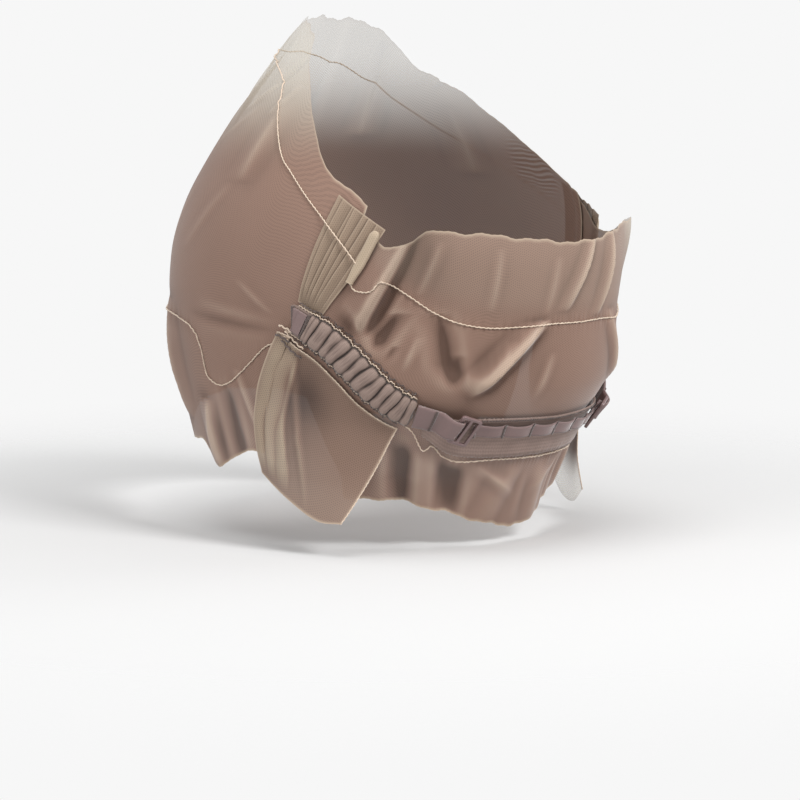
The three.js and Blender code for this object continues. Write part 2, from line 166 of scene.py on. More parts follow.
CROWN_SEAM = [  # angle, height, flare
    (118, 0.2, 0.04),
    (126, 0.09, 0.15),
    (132, 0.03, 0.4),
    (138, -0.02, 0.95),
    (145, -0.06, 0.6),
    (157, -0.09, 0.38),
    (180, -0.1, 0.33),
]
HELD_LINE = [  # angle, height
    (104, -0.06),
    (112, -0.145),
    (118, -0.24),
    (124, -0.345),
    (130, -0.415),
    (135, -0.445),
    (142, -0.48),
    (150, -0.53),
    (180, -0.55),
]
HELD_REACH = 0.9 * CASING_WIDTH / DOME_HEIGHT
HELD_FADE = 0.11
HELD_FROM = 97  # the lace starts to be held down here, and is all held a few degrees on
HELD_FULL = 7
FOLDS = [  # from, low, to, high, rise, front, rear
    (118, -0.14, 134.5, 0.34, 0.95, 9, 2.2),
    (238, 0.02, 224, 0.34, 0.8, 2.5, 9),
    (142.5, -0.46, 168, -0.06, 0.85, 9, 3),
    (214, -0.46, 197, -0.04, 0.45, 5, 10),
    (143, -0.43, 139, -0.02, -0.4, 6, 5),
    (121, -0.22, 129, -0.02, -0.4, 4, 5),
    (174.5, -0.03, 188, 0.3, 0.4, 5, 1.8),
    (189, -0.06, 199, 0.3, 0.45, 5, 2),
    (162, -1.02, 172, -0.66, 0.25, 9, 8),
    (191, -1.05, 186, -0.64, 0.3, 8, 9),
    (150, -0.98, 150, -0.62, -0.3, 6, 5),
    (137, -0.95, 138, -0.56, 0.25, 7, 7),
    (208, -1.0, 205, -0.6, -0.3, 7, 6),
    (225, -0.95, 222, -0.58, 0.4, 6, 7),
    (70, -0.8, 69, -0.46, 0.5, 7, 4),
    (81, -0.75, 79, -0.38, -0.3, 5, 5),
    (291, -0.78, 287, -0.42, 0.45, 6, 6),
    (49, -0.58, 44, -0.04, 0.55, 14, 11),
    (309, -0.6, 315, -0.06, 0.45, 10, 14),
    (12, -0.6, 20, -0.05, 0.35, 12, 10),
    (340, -0.62, 334, -0.1, 0.35, 10, 12),
    (24, 0.62, 58, 1.12, -0.45, 9, 6),
    (5, 0.7, 28, 1.2, 0.4, 10, 8),
    (318, 0.66, 310, 1.1, 0.45, 8, 8),
    (344, 0.6, 338, 1.2, -0.4, 8, 8),
    (78, 0.5, 84, 0.86, 0.2, 9, 8),
    (280, 0.48, 284, 0.8, 0.2, 8, 9),
]
# Fine creases that the solids leave out, in the same columns but with the rise in millimetres.
CREASES = [
    (97, -0.05, 86, 0.09, 0.35, 2.4, 2),
    (84, -0.3, 90, -0.6, 0.9, 1.8, 2.6),
    (71, 0.88, 85, 1.06, -1.4, 2.6, 3.2),
    (58, 0.8, 74, 0.93, 1.0, 3, 4),
    (77, 0.78, 88, 0.93, 0.9, 3, 3),
    (49, 0.66, 70, 0.83, 0.35, 4, 4),
    (60, 0.2, 75, 0.5, 0.25, 5, 4),
    (38, 0.1, 52, 0.5, 0.25, 6, 5),
    (150, -0.4, 158, -0.14, 0.8, 2.2, 3.4),
    (166, -0.46, 171, -0.2, 0.6, 2.4, 3),
    (128, -0.36, 134, -0.12, 0.7, 1.6, 2.4),
    (134, 0.05, 140, 0.26, 0.6, 2, 2.6),
    (152, -0.02, 155, 0.24, 0.6, 2.6, 2.2),
    (168, -0.04, 172, 0.2, 0.5, 2.4, 3),
    (155, -0.9, 158, -0.66, 0.3, 4, 4),
    (178, -0.98, 180, -0.68, 0.3, 4, 4),
    (130.5, -0.98, 131, -0.5, -2.6, 7, 5),
    (146, -0.96, 145, -0.58, -2.4, 6, 8),
    (121, -0.13, 128.5, 0.09, -1.6, 2, 3),
    (142, -0.42, 144, -0.2, -1.4, 3.5, 3.5),
    (124.5, -0.26, 128.5, -0.16, -1.0, 1.4, 2),
    (100, -0.7, 106, -0.5, 0.5, 2, 2),
    (122, -0.88, 126, -0.5, 0.4, 4, 4),
    (263, -0.05, 275, 0.09, 0.35, 2, 2.4),
    (289, 0.88, 276, 1.0, -0.9, 3, 2.6),
]
# Creases that run round the head: from angle and height, to angle and height, rise and half width in mm.
LEVEL_CREASES = [
    (64, -0.075, 101, -0.125, -0.4, 4),
    (70, -0.02, 98, -0.085, 0.2, 4),
    (261, -0.13, 296, -0.07, -0.4, 4),
    (150, -0.66, 176, -0.85, 1.0, 5),
    (182, -0.84, 206, -0.68, 0.6, 5),
    (12, -0.42, 40, -0.36, 0.4, 6),
    (322, -0.34, 350, -0.4, -0.4, 6),
]
PLEAT_CORNERS = {"front": (104.5, 0.015, 113.5, 0.46), "rear": (110, -0.058, 126.5, 0.315)}
FLAP_OUTLINE = {  # side, along the casing, foot angle, foot height
    "left": [
        (0, -0.1, 95, -0.73),
        (0.35, 0.24, 102, -0.83),
        (0.7, 0.62, 109.5, -0.915),
        (1, 0.94, 115.5, -0.92),
    ],
    "right": [
        (0, -0.1, 95, -0.73),
        (0.35, 0.24, 102, -0.9),
        (0.6, 0.5, 107.5, -1.0),
        (0.85, 0.78, 113, -1.02),
        (1, 0.94, 115.5, -0.96),
    ],
}
FLAP_HANG = {"left": 20, "right": 17}  # how far the foot of each flap stands out, in millimetres
BAND_EDGES = [  # angle, upper edge, lower edge
    (136, -0.46, -0.545),
    (144, -0.465, -0.625),
    (155, -0.465, -0.65),
    (180, -0.475, -0.655),
]
STRAP_START = (133.8, -0.44)
STRAP_END = (148, -0.5)
FLAP_BARE = {"left": 0.05, "right": 1.0}  # how sheer each flap looks where it hangs clear
CROWN_CORNER = 222
CASING_START = 103.5
CASING_END = 133.2

# Hairline threads, as angle and height along each line.
BROW_THREAD = [
    (0, -0.05),
    (25, -0.07),
    (47.6, -0.103),
    (58.5, -0.121),
    (65.3, -0.146),
    (69.3, -0.202),
    (70.8, -0.289),
    (71.6, -0.35),
    (74.6, -0.381),
    (77.9, -0.385),
    (83.3, -0.348),
    (89.6, -0.267),
    (95.1, -0.189),
    (99.2, -0.166),
]
LEFT_CREST_THREAD = [
    (0, 1.06),
    (30, 1.05),
    (55, 1.02),
    (70, 0.97),
    (76.5, 0.92),
    (82, 0.82),
    (88.5, 0.68),
    (93, 0.6),
    (97, 0.551),
    (104, 0.45),
    (111, 0.341),
    (116, 0.25),
    (119.5, 0.176),
]
RIGHT_CREST_THREAD = [
    (0, 1.06),
    (28, 1.0),
    (48, 0.88),
    (64, 0.75),
    (78, 0.62),
    (90, 0.52),
    (102, 0.4),
    (111, 0.3),
    (119.5, 0.17),
]
CROWN_THREAD = [
    (117.6, 0.1),
    (118.4, 0.078),
    (120, 0.066),
    (123.4, 0.069),
    (125.5, 0.104),
    (127.2, 0.099),
    (131.5, 0.054),
    (137, -0.009),
    (142.9, -0.057),
    (151, -0.084),
    (160.2, -0.084),
    (168.6, -0.078),
    (180, -0.08),
]
NAPE_THREAD = [
    (130.5, -0.49),
    (133.5, -0.535),
    (136.5, -0.615),
    (139.5, -0.598),
    (143, -0.645),
    (148, -0.672),
    (160, -0.668),
    (180, -0.672),
]


def smooth(t):
    t = np.clip(t, 0, 1)
    return t * t * (3 - 2 * t)


def mix(a, b, t):
    return a + (b - a) * t


def even(value):
    """The same value at every point."""
    return lambda *at: np.full(np.shape(at[0]), value)


def read_table(rows, column, at):
    """A column of a table at a key, on a smooth curve through its rows."""
    keys = np.array([row[0] for row in rows], float)
    values = np.array([row[column] for row in rows], float)
    before = np.maximum(np.arange(len(keys)) - 1, 0)
    after = np.minimum(np.arange(len(keys)) + 1, len(keys) - 1)
    slopes = (values[after] - values[before]) / (keys[after] - keys[before])
    at = np.asarray(at, float)
    i = np.clip(np.searchsorted(keys, at, "right") - 1, 0, len(keys) - 2)
    step = keys[i + 1] - keys[i]
    t = np.clip((at - keys[i]) / step, 0, 1)
    return (
        values[i] * (1 + 2 * t) * (1 - t) ** 2
        + slopes[i] * step * t * (1 - t) ** 2
        + values[i + 1] * t * t * (3 - 2 * t)
        + slopes[i + 1] * step * t * t * (t - 1)
    )


def from_front(angle):
    turned = np.mod(angle, 360)
    return np.minimum(turned, 360 - turned)


def girth_share(angle, height):
    narrowed = math.sqrt(1 - LEANING**2)
    past = np.maximum(height - LEANING, 0)
    leaning = narrowed - LEANING / narrowed * past - PEAK_CURL * past**2
    dome = np.sqrt(1 - np.clip(height, 0, LEANING) ** 2)
    face = read_table(GIRTH, 1, height)
    back = read_table(GIRTH, 2, height)
    below = mix(face, back, smooth((from_front(angle) - FACE_ANGLE) / (BACK_ANGLE - FACE_ANGLE)))
    return np.where(height > LEANING, leaning, np.where(height > 0, dome, below))


def on_head(angle, height):
    """A point on the head form, in millimetres, with its height as a share of the dome's."""
    angle, height = np.broadcast_arrays(np.asarray(angle, float), np.asarray(height, float))
    share = girth_share(angle, height)
    x = HEAD_WIDTH / 2 * share * np.sin(np.radians(angle))
    y = -HEAD_LENGTH / 2 * share * np.cos(np.radians(angle))
    return np.stack([x, y, height * DOME_HEIGHT], -1)


def head_steps(angle, height):
    half = 0.5 / DOME_HEIGHT
    turned = on_head(angle + 0.5, height) - on_head(angle - 0.5, height)
    risen = on_head(angle, height + half) - on_head(angle, height - half)
    return turned, risen


def unit(vectors):
    return vectors / np.linalg.norm(vectors, axis=-1, keepdims=True)


def over_head(angle, height, lift):
    turned, risen = head_steps(angle, height)
    return on_head(angle, height) + unit(np.cross(turned, risen)) * np.asarray(lift)[..., None]


def fold_lift(fold, angle, height):
    start, low, end, high, rise, front, rear = fold
    t = (height - low) / (high - low)
    away = angle - mix(start, end, np.clip(t, 0, 1))
    share = np.clip(np.abs(away) / np.where(away < 0, front, rear), 0, 1)
    crisp = smooth((height - NAPE_HANGS) / NAPE_FADE)
    across = mix(smooth(1 - share), (1 - share) ** FOLD_CRISPNESS, crisp)
    inside = (t > 0) & (t < 1)
    along = np.sin(np.pi * np.clip(t, 0, 1)) ** FOLD_ENDS
    return np.where(inside, rise * across * along, 0)


def level_lift(crease, angle, height):
    start, start_height, end, end_height, rise, half = crease
    t = (angle - start) / (end - start)
    away = (height - mix(start_height, end_height, t)) * DOME_HEIGHT
    across = (1 - np.clip(np.abs(away) / half, 0, 1)) ** 1.5
    return rise * across * np.sin(np.pi * np.clip(t, 0, 1))


def puckers(angle, height):
    """Small ripples that a thread draws up in the net, beside each thread."""
    side = from_front(angle)
    total = np.zeros_like(side)
    for rows, first, last in ((BROW_THREAD, -4, 99), (CROWN_THREAD, 119.5, 184), (NAPE_THREAD, 133, 184)):
        away = (height - read_table(rows, 1, side)) * DOME_HEIGHT
        near = np.exp(-((away / PUCKER_REACH) ** 2))
        near = near * smooth((side - first) / PUCKER_ENDS) * smooth((last - side) / PUCKER_ENDS)
        wander = np.sin(side * 1.7) * 0.6 + np.sin(side * 0.9 + 2)
        total += PUCKER_HEIGHT * near * np.sin(side * 3.1 + 1.3 * wander)
    return total


def crown_flare(angle, height):
    """How far the spare lace at the crown stands off the head."""
    side = from_front(angle)
    seam = read_table(CROWN_SEAM, 1, side)
    risen = smooth((height - seam) / (CROWN_EDGE - seam)) * smooth((side - FLARE_FROM) / FLARE_FADE)
    return CROWN_FLARE * risen * read_table(CROWN_SEAM, 2, side)


def lace_lift(angle, height):
    """The middle of the lace, measured out from the head form."""
    side = from_front(angle)
    turned = np.mod(angle, 360)
    held = read_table(HELD_LINE, 1, side)
    at_line = 1 - smooth((np.abs(height - held) - HELD_REACH) / HELD_FADE)
    free = 1 - at_line * smooth((side - HELD_FROM) / HELD_FULL)
    folded = sum(FOLD_DEPTH * fold_lift(fold, turned, height) for fold in FOLDS)
    creased = sum(fold_lift(crease, turned, height) for crease in CREASES)
    creased = creased + sum(level_lift(crease, turned, height) for crease in LEVEL_CREASES)
    return LACE_EASE + free * (folded + creased) + puckers(angle, height) + crown_flare(angle, height)


def sewn_on(angle, height, under, thickness):
    """The lift of the middle of a piece that is sewn on the lace."""
    return lace_lift(angle, height) + LACE_WALL / 2 + SEWN_GAP + under + thickness / 2


def finish_piece(name, bm, material, mirrored=False):
    """Makes the piece's object from its bmesh, in millimetres until here."""
    if mirrored:
        bmesh.ops.scale(bm, verts=bm.verts, vec=(-1, 1, 1))
        bmesh.ops.reverse_faces(bm, faces=bm.faces)
    bmesh.ops.scale(bm, verts=bm.verts, vec=(MM, MM, MM))
    mesh = bpy.data.meshes.new(name)
    bm.to_mesh(mesh)
    bm.free()
    mesh.materials.append(material)
    mesh.polygons.foreach_set("use_smooth", [True] * len(mesh.polygons))
    piece = bpy.data.objects.new(name, mesh)
    bpy.context.scene.collection.objects.link(piece)
    return piece


CREST_STEPS = 3  # grid steps that a crest is measured against
HOLLOW_STEPS = 16  # and those for a hollow
# How strongly a crest is painted paler, as a painted highlight, and a hollow darker, as painted shade.
CREST_HIGHLIGHT = 1.8
HOLLOW_SHADE = 0.4


def blurred(field, reach):
    """A field with each value the mean of those within reach steps, twice over, along both axes."""
    for axis in (0, 1, 0, 1):
        padded = np.pad(field, [(reach, reach) if a == axis else (0, 0) for a in (0, 1)], mode="edge")
        run = np.cumsum(padded, axis=axis)
        run = np.insert(run, 0, 0, axis=axis)
        size = field.shape[axis]
        far = np.take(run, np.arange(size) + 2 * reach + 1, axis=axis)
        near = np.take(run, np.arange(size), axis=axis)
        field = (far - near) / (2 * reach + 1)
    return field


def laid_grid(across, up, place, rim=None, shading_relief=None, spare=None, layers_and_shade=None):
    """A grid with its points moved to place(u, v), and its own UV map in metres. Its attributes say how
    near a point is to the rim; how much painted highlight it gets where it stands out of the cloth round it
    and painted shade where it lies in a hollow, with any extra layers and painted shade that a piece adds;
    and how bare it looks."""
    bm = bmesh.new()
    bmesh.ops.create_grid(bm, x_segments=across, y_segments=up, size=0.5)
    flat = np.array([vert.co[:2] for vert in bm.verts]) + 0.5
    order = np.lexsort((flat[:, 0].round(6), flat[:, 1].round(6)))
    shape = (len(np.unique(flat[:, 1].round(6))), len(np.unique(flat[:, 0].round(6))))
    u = flat[order, 0].reshape(shape)
    v = flat[order, 1].reshape(shape)
    points = place(u, v)
    along_u = np.linalg.norm(np.diff(points, axis=1), axis=2)
    along_v = np.linalg.norm(np.diff(points, axis=0), axis=2)
    run_u = np.concatenate([np.zeros((shape[0], 1)), np.cumsum(along_u, 1)], 1)
    run_v = np.concatenate([np.zeros((1, shape[1])), np.cumsum(along_v, 0)], 0)
    middle = shape[1] // 2
    run_u = run_u - run_u[:, middle : middle + 1]
    edge = np.minimum.reduce([run_v, run_v[-1:] - run_v, run_u - run_u[:, :1], run_u[:, -1:] - run_u])
    uv_layer = bm.loops.layers.uv.new("cloth")
    rim_layer = bm.verts.layers.float.new("rim")
    shading_layer = bm.verts.layers.float.new("shading_relief")
    spare_layer = bm.verts.layers.float.new("spare")
    raised = np.zeros(len(bm.verts))
    # The shading attribute is painted light: a painted highlight on crests, painted shade in hollows, and
    # the extra term for layers and painted shade.
    if shading_relief:
        lifted = shading_relief(u, v)
        crest = lifted - blurred(lifted, CREST_STEPS)
        hollow_shade = np.minimum(lifted - blurred(lifted, HOLLOW_STEPS), 0)
        layers = layers_and_shade(u, v) if layers_and_shade else 0
        raised[order] = (CREST_HIGHLIGHT * crest + HOLLOW_SHADE * hollow_shade + layers).ravel()
    hanging = np.zeros(len(bm.verts))
    if spare:
        hanging[order] = spare(u, v).ravel()
    bm.verts.ensure_lookup_table()
    cloth = np.zeros((len(bm.verts), 2))
    cloth[order, 0] = run_u.ravel() * MM
    cloth[order, 1] = run_v.ravel() * MM
    distance = np.zeros(len(bm.verts))
    distance[order] = edge.ravel()
    placed = np.zeros((len(bm.verts), 3))
    placed[order] = points.reshape(-1, 3)
    for i, vert in enumerate(bm.verts):
        vert.co = placed[i]
        vert[rim_layer] = float(max(0, 1 - distance[i] / rim)) if rim else 0.0
        vert[shading_layer] = float(raised[i])
        vert[spare_layer] = float(hanging[i])
    for face in bm.faces:
        for loop in face.loops:
            loop[uv_layer].uv = cloth[loop.vert.index]
    return bm


def wall(across, up, place, thickness, shading_relief=None):
    """A closed wall about place(u, v): two laid grids joined round their edges."""
    reach = 0.004

    def side(sign):
        def moved(u, v):
            along_u = place(u + reach, v) - place(u - reach, v)
            along_v = place(u, v + reach) - place(u, v - reach)
            out = unit(np.cross(along_u, along_v))
            return place(u, v) + sign * out * np.asarray(thickness(u, v))[..., None] / 2

        return laid_grid(across, up, moved, shading_relief=shading_relief)

    outer = side(1)
    inner = side(-1)
    bmesh.ops.reverse_faces(inner, faces=inner.faces)
    scratch = bpy.data.meshes.new("inner")
    inner.to_mesh(scratch)
    inner.free()
    outer.from_mesh(scratch)
    bpy.data.meshes.remove(scratch)
    edges = [edge for edge in outer.edges if edge.is_boundary]
    bmesh.ops.bridge_loops(outer, edges=edges)
    bmesh.ops.recalc_face_normals(outer, faces=outer.faces)
    return outer


THREAD_GIRTH = 0.002  # once round a thread on its UV map, in metres
STITCH_STEPS = 6


def tube(path, radius):
    """A round thread with closed ends along the points of path; radius(t, turn) is in millimetres."""
    steps = len(path) - 1
    ahead = unit(np.gradient(path, axis=0))
    side = unit(np.cross(ahead, unit(path * OUTWARD)))
    top = np.cross(side, ahead)
    bm = bmesh.new()
    bmesh.ops.create_grid(bm, x_segments=THREAD_SIDES, y_segments=steps, size=0.5)
    flat = np.array([vert.co[:2] for vert in bm.verts]) + 0.5
    row = np.rint(flat[:, 1] * steps).astype(int)
    turn = flat[:, 0] * 2 * np.pi
    size = radius(flat[:, 1], turn)[:, None]
    placed = path[row] + size * (np.cos(turn)[:, None] * side[row] + np.sin(turn)[:, None] * top[row])
    run = np.concatenate([[0], np.cumsum(np.linalg.norm(np.diff(path, axis=0), axis=1))]) * MM
    uv_layer = bm.loops.layers.uv.new("cloth")
    for i, vert in enumerate(bm.verts):
        vert.co = placed[i]
    bm.verts.index_update()
    for face in bm.faces:
        for loop in face.loops:
            i = loop.vert.index
            loop[uv_layer].uv = (flat[i, 0] * THREAD_GIRTH, run[row[i]])
    bmesh.ops.remove_doubles(bm, verts=bm.verts, dist=1e-4)
    bmesh.ops.holes_fill(bm, edges=bm.edges, sides=THREAD_SIDES + 1)
    bmesh.ops.recalc_face_normals(bm, faces=bm.faces)
    return bm


def beside_line(line, t, off):
    """The angle and height of a point a given way above a line on the head, square to the line."""
    angle, height = line(t)
    ahead_angle, ahead_height = line(t + 0.01)
    before_angle, before_height = line(t - 0.01)
    turned, risen = head_steps(angle, height)
    along = turned * (ahead_angle - before_angle)[..., None]
    along = along + risen * ((ahead_height - before_height) * DOME_HEIGHT)[..., None]
    across = unit(np.cross(np.cross(turned, risen), along))
    skew = (turned * risen).sum(-1)
    turned_size = (turned**2).sum(-1)
    risen_size = (risen**2).sum(-1)
    share = off / (turned_size * risen_size - skew**2)
    by_turned = (across * turned).sum(-1)
    by_risen = (across * risen).sum(-1)
    new_angle = angle + share * (by_turned * risen_size - by_risen * skew)
    new_height = height + share * (by_risen * turned_size - by_turned * skew) / DOME_HEIGHT
    return new_angle, new_height


def strip(line, width, lift):
    def place(u, v):
        angle, height = beside_line(line, u, (v - 0.5) * width(u))
        return over_head(angle, height, lift(angle, height, u, v))

    return place


def casing_line(t):
    angle = mix(CASING_START, CASING_END, np.asarray(t, float))
    return angle, read_table(HELD_LINE, 1, angle)


def strap_line(t):
    t = np.asarray(t, float)
    return mix(STRAP_START[0], STRAP_END[0], t), mix(STRAP_START[1], STRAP_END[1], t)


def cut_edge(turn, depth):
    """How a hand-cut edge wanders, as a share of the dome's height."""
    wave = 0.6 * np.sin(turn * 27 + 1) + 0.4 * np.sin(turn * 61) + 0.12 * np.sin(turn * 233)
    return depth * wave / DOME_HEIGHT


def front_spot(u, v):
    turn = 2 * u - 1
    low = read_table(FRONT_BOTTOM, 1, np.abs(turn)) + cut_edge(turn, LOW_CUT)
    high = read_table(FRONT_TOP, 1, turn) + cut_edge(turn, FRONT_CUT)
    height = mix(low, high, v)
    joined = SEAM_ALLOWANCE * smooth((height - ALLOWANCE_FROM) / 0.08)
    end = read_table(SEAM_LINE, 1, height) - SEAM_GAP / 2 + joined
    return turn * end, height, smooth((np.abs(turn) * end - end + joined + 1) / 1.5)


def front_place(u, v):
    angle, height, tucked = front_spot(u, v)
    return over_head(angle, height, lace_lift(angle, height) - TUCK * tucked)


def back_spot(u, v):
    turn = 2 * u - 1
    side = np.abs(turn)
    low = read_table(BACK_BOTTOM, 1, side) + cut_edge(turn, LOW_CUT)
    high = read_table(BACK_TOP, 1, side) + cut_edge(turn, BACK_CUT)
    height = mix(low, high, v)
    end = 180 - read_table(SEAM_LINE, 2, height) - SEAM_GAP / 2
    return 180 + turn * end, height


def back_place(u, v):
    angle, height = back_spot(u, v)
    return over_head(angle, height, lace_lift(angle, height))


def fold_height(angle, height):
    """The lift of the lace that its folds make: most of the puckers and all of the flare are left out."""
    return lace_lift(angle, height) - 0.8 * puckers(angle, height) - crown_flare(angle, height)


def front_relief(u, v):
    angle, height, _ = front_spot(u, v)
    return fold_height(angle, height)


def back_relief(u, v):
    return fold_height(*back_spot(u, v))


def front_spare(u, v):
    _, height, _ = front_spot(u, v)
    return smooth((height - 0.55) / 0.55)


def back_spare(u, v):
    angle, height = back_spot(u, v)
    corner = smooth((height - 0.02) / 0.3) * np.exp(-(((angle - CROWN_CORNER) / 7) ** 2))
    # Lace standing above the crown seam is made a little paler and sheerer: painted light from above, and
    # sheerness where it stands clear.
    standing_lit = smooth((height - read_table(CROWN_SEAM, 1, from_front(angle))) / 0.15)
    return np.maximum(0.75 * corner, 0.1 * standing_lit)


PLEAT_FOLDS = [  # share of the width where each pleat starts, its height in millimetres
    (0.0, 0.35),
    (0.11, 0.55),
    (0.29, 0.45),
    (0.37, 0.75),
    (0.55, 0.4),
    (0.64, 0.65),
    (0.84, 0.4),
]


def pleats_spot(u, v):
    front_foot, front_low, front_top, front_high = PLEAT_CORNERS["front"]
    rear_foot, rear_low, rear_top, rear_high = PLEAT_CORNERS["rear"]
    angle = mix(mix(front_foot, front_top, v), mix(rear_foot, rear_top, v), u)
    height = mix(mix(front_low, rear_low, u), mix(front_high, rear_high, u), v)
    bow = 0.8 * np.sin(np.pi * v) * (1 - u)
    return angle - bow, height


def pleats_height(u, v):
    """Flat pleats laid one over the next, each with a sharp front fold and a long slope behind it."""
    raised = np.zeros(np.broadcast(u, v).shape)
    for k, (start, high) in enumerate(PLEAT_FOLDS):
        wander = 0.02 * np.sin(3.1 * v + 2.3 * k)
        past = u - start - wander
        shape = smooth(past / 0.02) * (1 - smooth((past - 0.02) / 0.15))
        raised = np.maximum(raised, high * shape)
    return raised * smooth(v / 0.2)


def pleats_place(u, v):
    """The foot of the pleats is tucked under the casing."""
    angle, height = pleats_spot(u, v)
    clear = mix(0.3, 0.8, smooth(v / 0.2))
    return over_head(angle, height, lace_lift(angle, height) + clear + pleats_height(u, v))


ROLL_LINE = {"foot": (117.6, 0.1), "top": (124.2, 0.31)}


def roll_place(u, v):
    """The last pleat is rolled over on itself; its top is rounded off."""
    across = 2 * u - 1
    rounding = np.sqrt(1 - np.clip((v - 0.88) / 0.13, 0, 1) ** 2)
    narrow = rounding * mix(0.7, 1, smooth(v / 0.4))
    angle = mix(ROLL_LINE["foot"][0], ROLL_LINE["top"][0], v) + 1.25 * across * narrow
    height = mix(ROLL_LINE["foot"][1], ROLL_LINE["top"][1], v) - 0.008 * across * narrow
    domed = 1.5 * np.sqrt(1 - np.clip(np.abs(across), 0, 1) ** 2.4) * rounding
    return over_head(angle, height, lace_lift(angle, height) + 0.9 + domed)


def roll_height(u, v):
    return 0.9 * np.sqrt(1 - np.clip(np.abs(2 * u - 1), 0, 1) ** 2.4)


def flap_dent(u, v):
    """Where the flap sinks in below the front end of the casing."""
    return 1.6 * np.exp(-(((u - 0.4) / 0.17) ** 2) - ((v - 0.72) / 0.2) ** 2)


def flap_bundle(u, v):
    """1 where the front of the flap is drawn into a bundle of pleats, which widens to its foot."""
    width = mix(0.36, 0.25, v) + 0.02 * np.sin(9 * v)
    return smooth((width - u) / 0.04) * smooth(5 * v)


def flap_pleats(u, v):
    """Narrow pleats in the bundle, 0 between them and 1 on their folds."""
    wander = 0.012 * np.sin(6 * v) + 0.006 * np.sin(17 * v + 1)
    fold = np.abs(np.sin(np.pi * 9 * (u + wander)))
    return flap_bundle(u, v) * (0.4 + 0.6 * fold) * smooth((1.02 - v) / 0.2)


def flap_crease(u, v):
    return 0.8 * np.exp(-(((u - mix(0.56, 0.2, v)) / 0.035) ** 2)) * np.sin(np.pi * v)


def flap_place(side):
    """The flap hangs from below the casing; its front corner is drawn up round the casing's end."""

    def place(u, v):
        rows = FLAP_OUTLINE[side]
        below = even(-CASING_WIDTH / 2 - FLAP_BELOW)
        top_angle, top_height = beside_line(casing_line, read_table(rows, 1, u), below(u))
        corner = 1 - smooth(u / 0.24)
        top_angle = top_angle - 1.5 * corner
        top_height = top_height + 0.045 * corner
        bow = FLAP_BOW * np.sin(np.pi * v) * (1 - u) ** 2
        angle = mix(read_table(rows, 2, u), top_angle, v) - bow
        height = mix(read_table(rows, 3, u), top_height, v)
        hang = FLAP_HANG[side] * mix(0.5, 1, u) * np.maximum(1 - v, 0) ** FLAP_HANG_POWER
        level = on_head(angle, np.zeros_like(angle))
        ripple = 0.5 * np.sin(7 * u + 2) * np.sin(3 * v) * (1 - v)
        shaped = 0.9 * flap_pleats(u, v) + flap_crease(u, v) + ripple - flap_dent(u, v)
        lift = sewn_on(angle, height, 0, LACE_WALL) + shaped
        return over_head(angle, height, lift) + unit(level) * hang[..., None]

    return place


def flap_relief(u, v):
    return 0.8 * flap_pleats(u, v) + flap_crease(u, v)


def flap_layers_and_shade(u, v):
    """The bundle lies several layers thick, and the flap gets painted shade where it sinks in."""
    return 0.65 * flap_bundle(u, v) - 0.6 * flap_dent(u, v)


def flap_spare(most):
    """The flap is barest where it hangs clear of the lace behind it."""
    return lambda u, v: most * smooth((0.5 - v) / 0.4)


GROOVES = [  # share of the casing's length, depth
    (0.115, 1.0),
    (0.145, 0.6),
    (0.185, 1.0),
    (0.285, 0.9),
    (0.35, 0.6),
    (0.42, 1.0),
    (0.495, 0.8),
    (0.56, 1.0),
    (0.635, 0.7),
    (0.705, 1.0),
    (0.775, 0.8),
    (0.845, 1.0),
    (0.93, 0.8),
    (1.0, 1.0),
]
GROOVE_WIDTH = 0.017
END_TAB = 0.105
TAB_TACK_IN = 0.006  # from each end of the tab to the middle of its tack


def gather(u, v):
    """1 on top of a gather, 0 at the bottom of a full groove; the grooves lean and wander a little."""
    cut = np.zeros(np.broadcast(u, v).shape)
    for k, (at, depth) in enumerate(GROOVES):
        wander = 0.02 * (v - 0.5) + 0.004 * np.sin(5 * v + 2.1 * k)
        cut = np.maximum(cut, depth * np.exp(-(((u - at - wander) / GROOVE_WIDTH) ** 2)))
    fine = 0.12 * np.sin(2 * np.pi * (31 * (u - 0.03 * v) + 0.3 * np.sin(9 * u))) ** 2
    return (1 - cut) * (1 - fine) * smooth((u - END_TAB) / 0.01)


def casing_thickness(u, v):
    rounded = 1 - (2 * v - 1) ** 6
    return mix(1.0, 2.2, gather(u, v) * rounded)


# The relief that the casing's painted highlight on its gathers and painted shade in its grooves are drawn
# from.
def casing_relief(u, v):
    return 2.0 * gather(u, v) * (1 - (2 * v - 1) ** 8)


casing_place = strip(
    casing_line,
    lambda u: CASING_WIDTH * mix(0.88, 1, gather(u, 0.5)),
    lambda angle, height, u, v: sewn_on(angle, height, 0, casing_thickness(u, v)),
)

STRAP_UNDER = BAND_THICKNESS + SEWN_GAP
SLIDER_LENGTH = 3 * SLIDER_BAR + 2 * SLIDER_SLOT
SLIDER_HEIGHT = STRAP_WIDTH + 2 * (SLOT_CLEARANCE + SLIDER_BAR)
SLIDER_UNDER = STRAP_UNDER + STRAP_THICKNESS + SEWN_GAP


def end_tab_place(s, t):
    """The flat satin tab that closes the front end of the casing."""
    return edge_spot(casing_place, mix(0.01, END_TAB - 0.008, s), mix(0.08, 0.92, t), 0.85)


def strap_length():
    angle, height = strap_line([0.0, 1.0])
    ends = over_head(angle, height, sewn_on(angle, height, STRAP_UNDER, 0))
    return float(np.linalg.norm(ends[1] - ends[0]))


STRAP_LENGTH = strap_length()
SLIDER_MIDDLE = 1 - SLIDER_BAR / 2 / STRAP_LENGTH


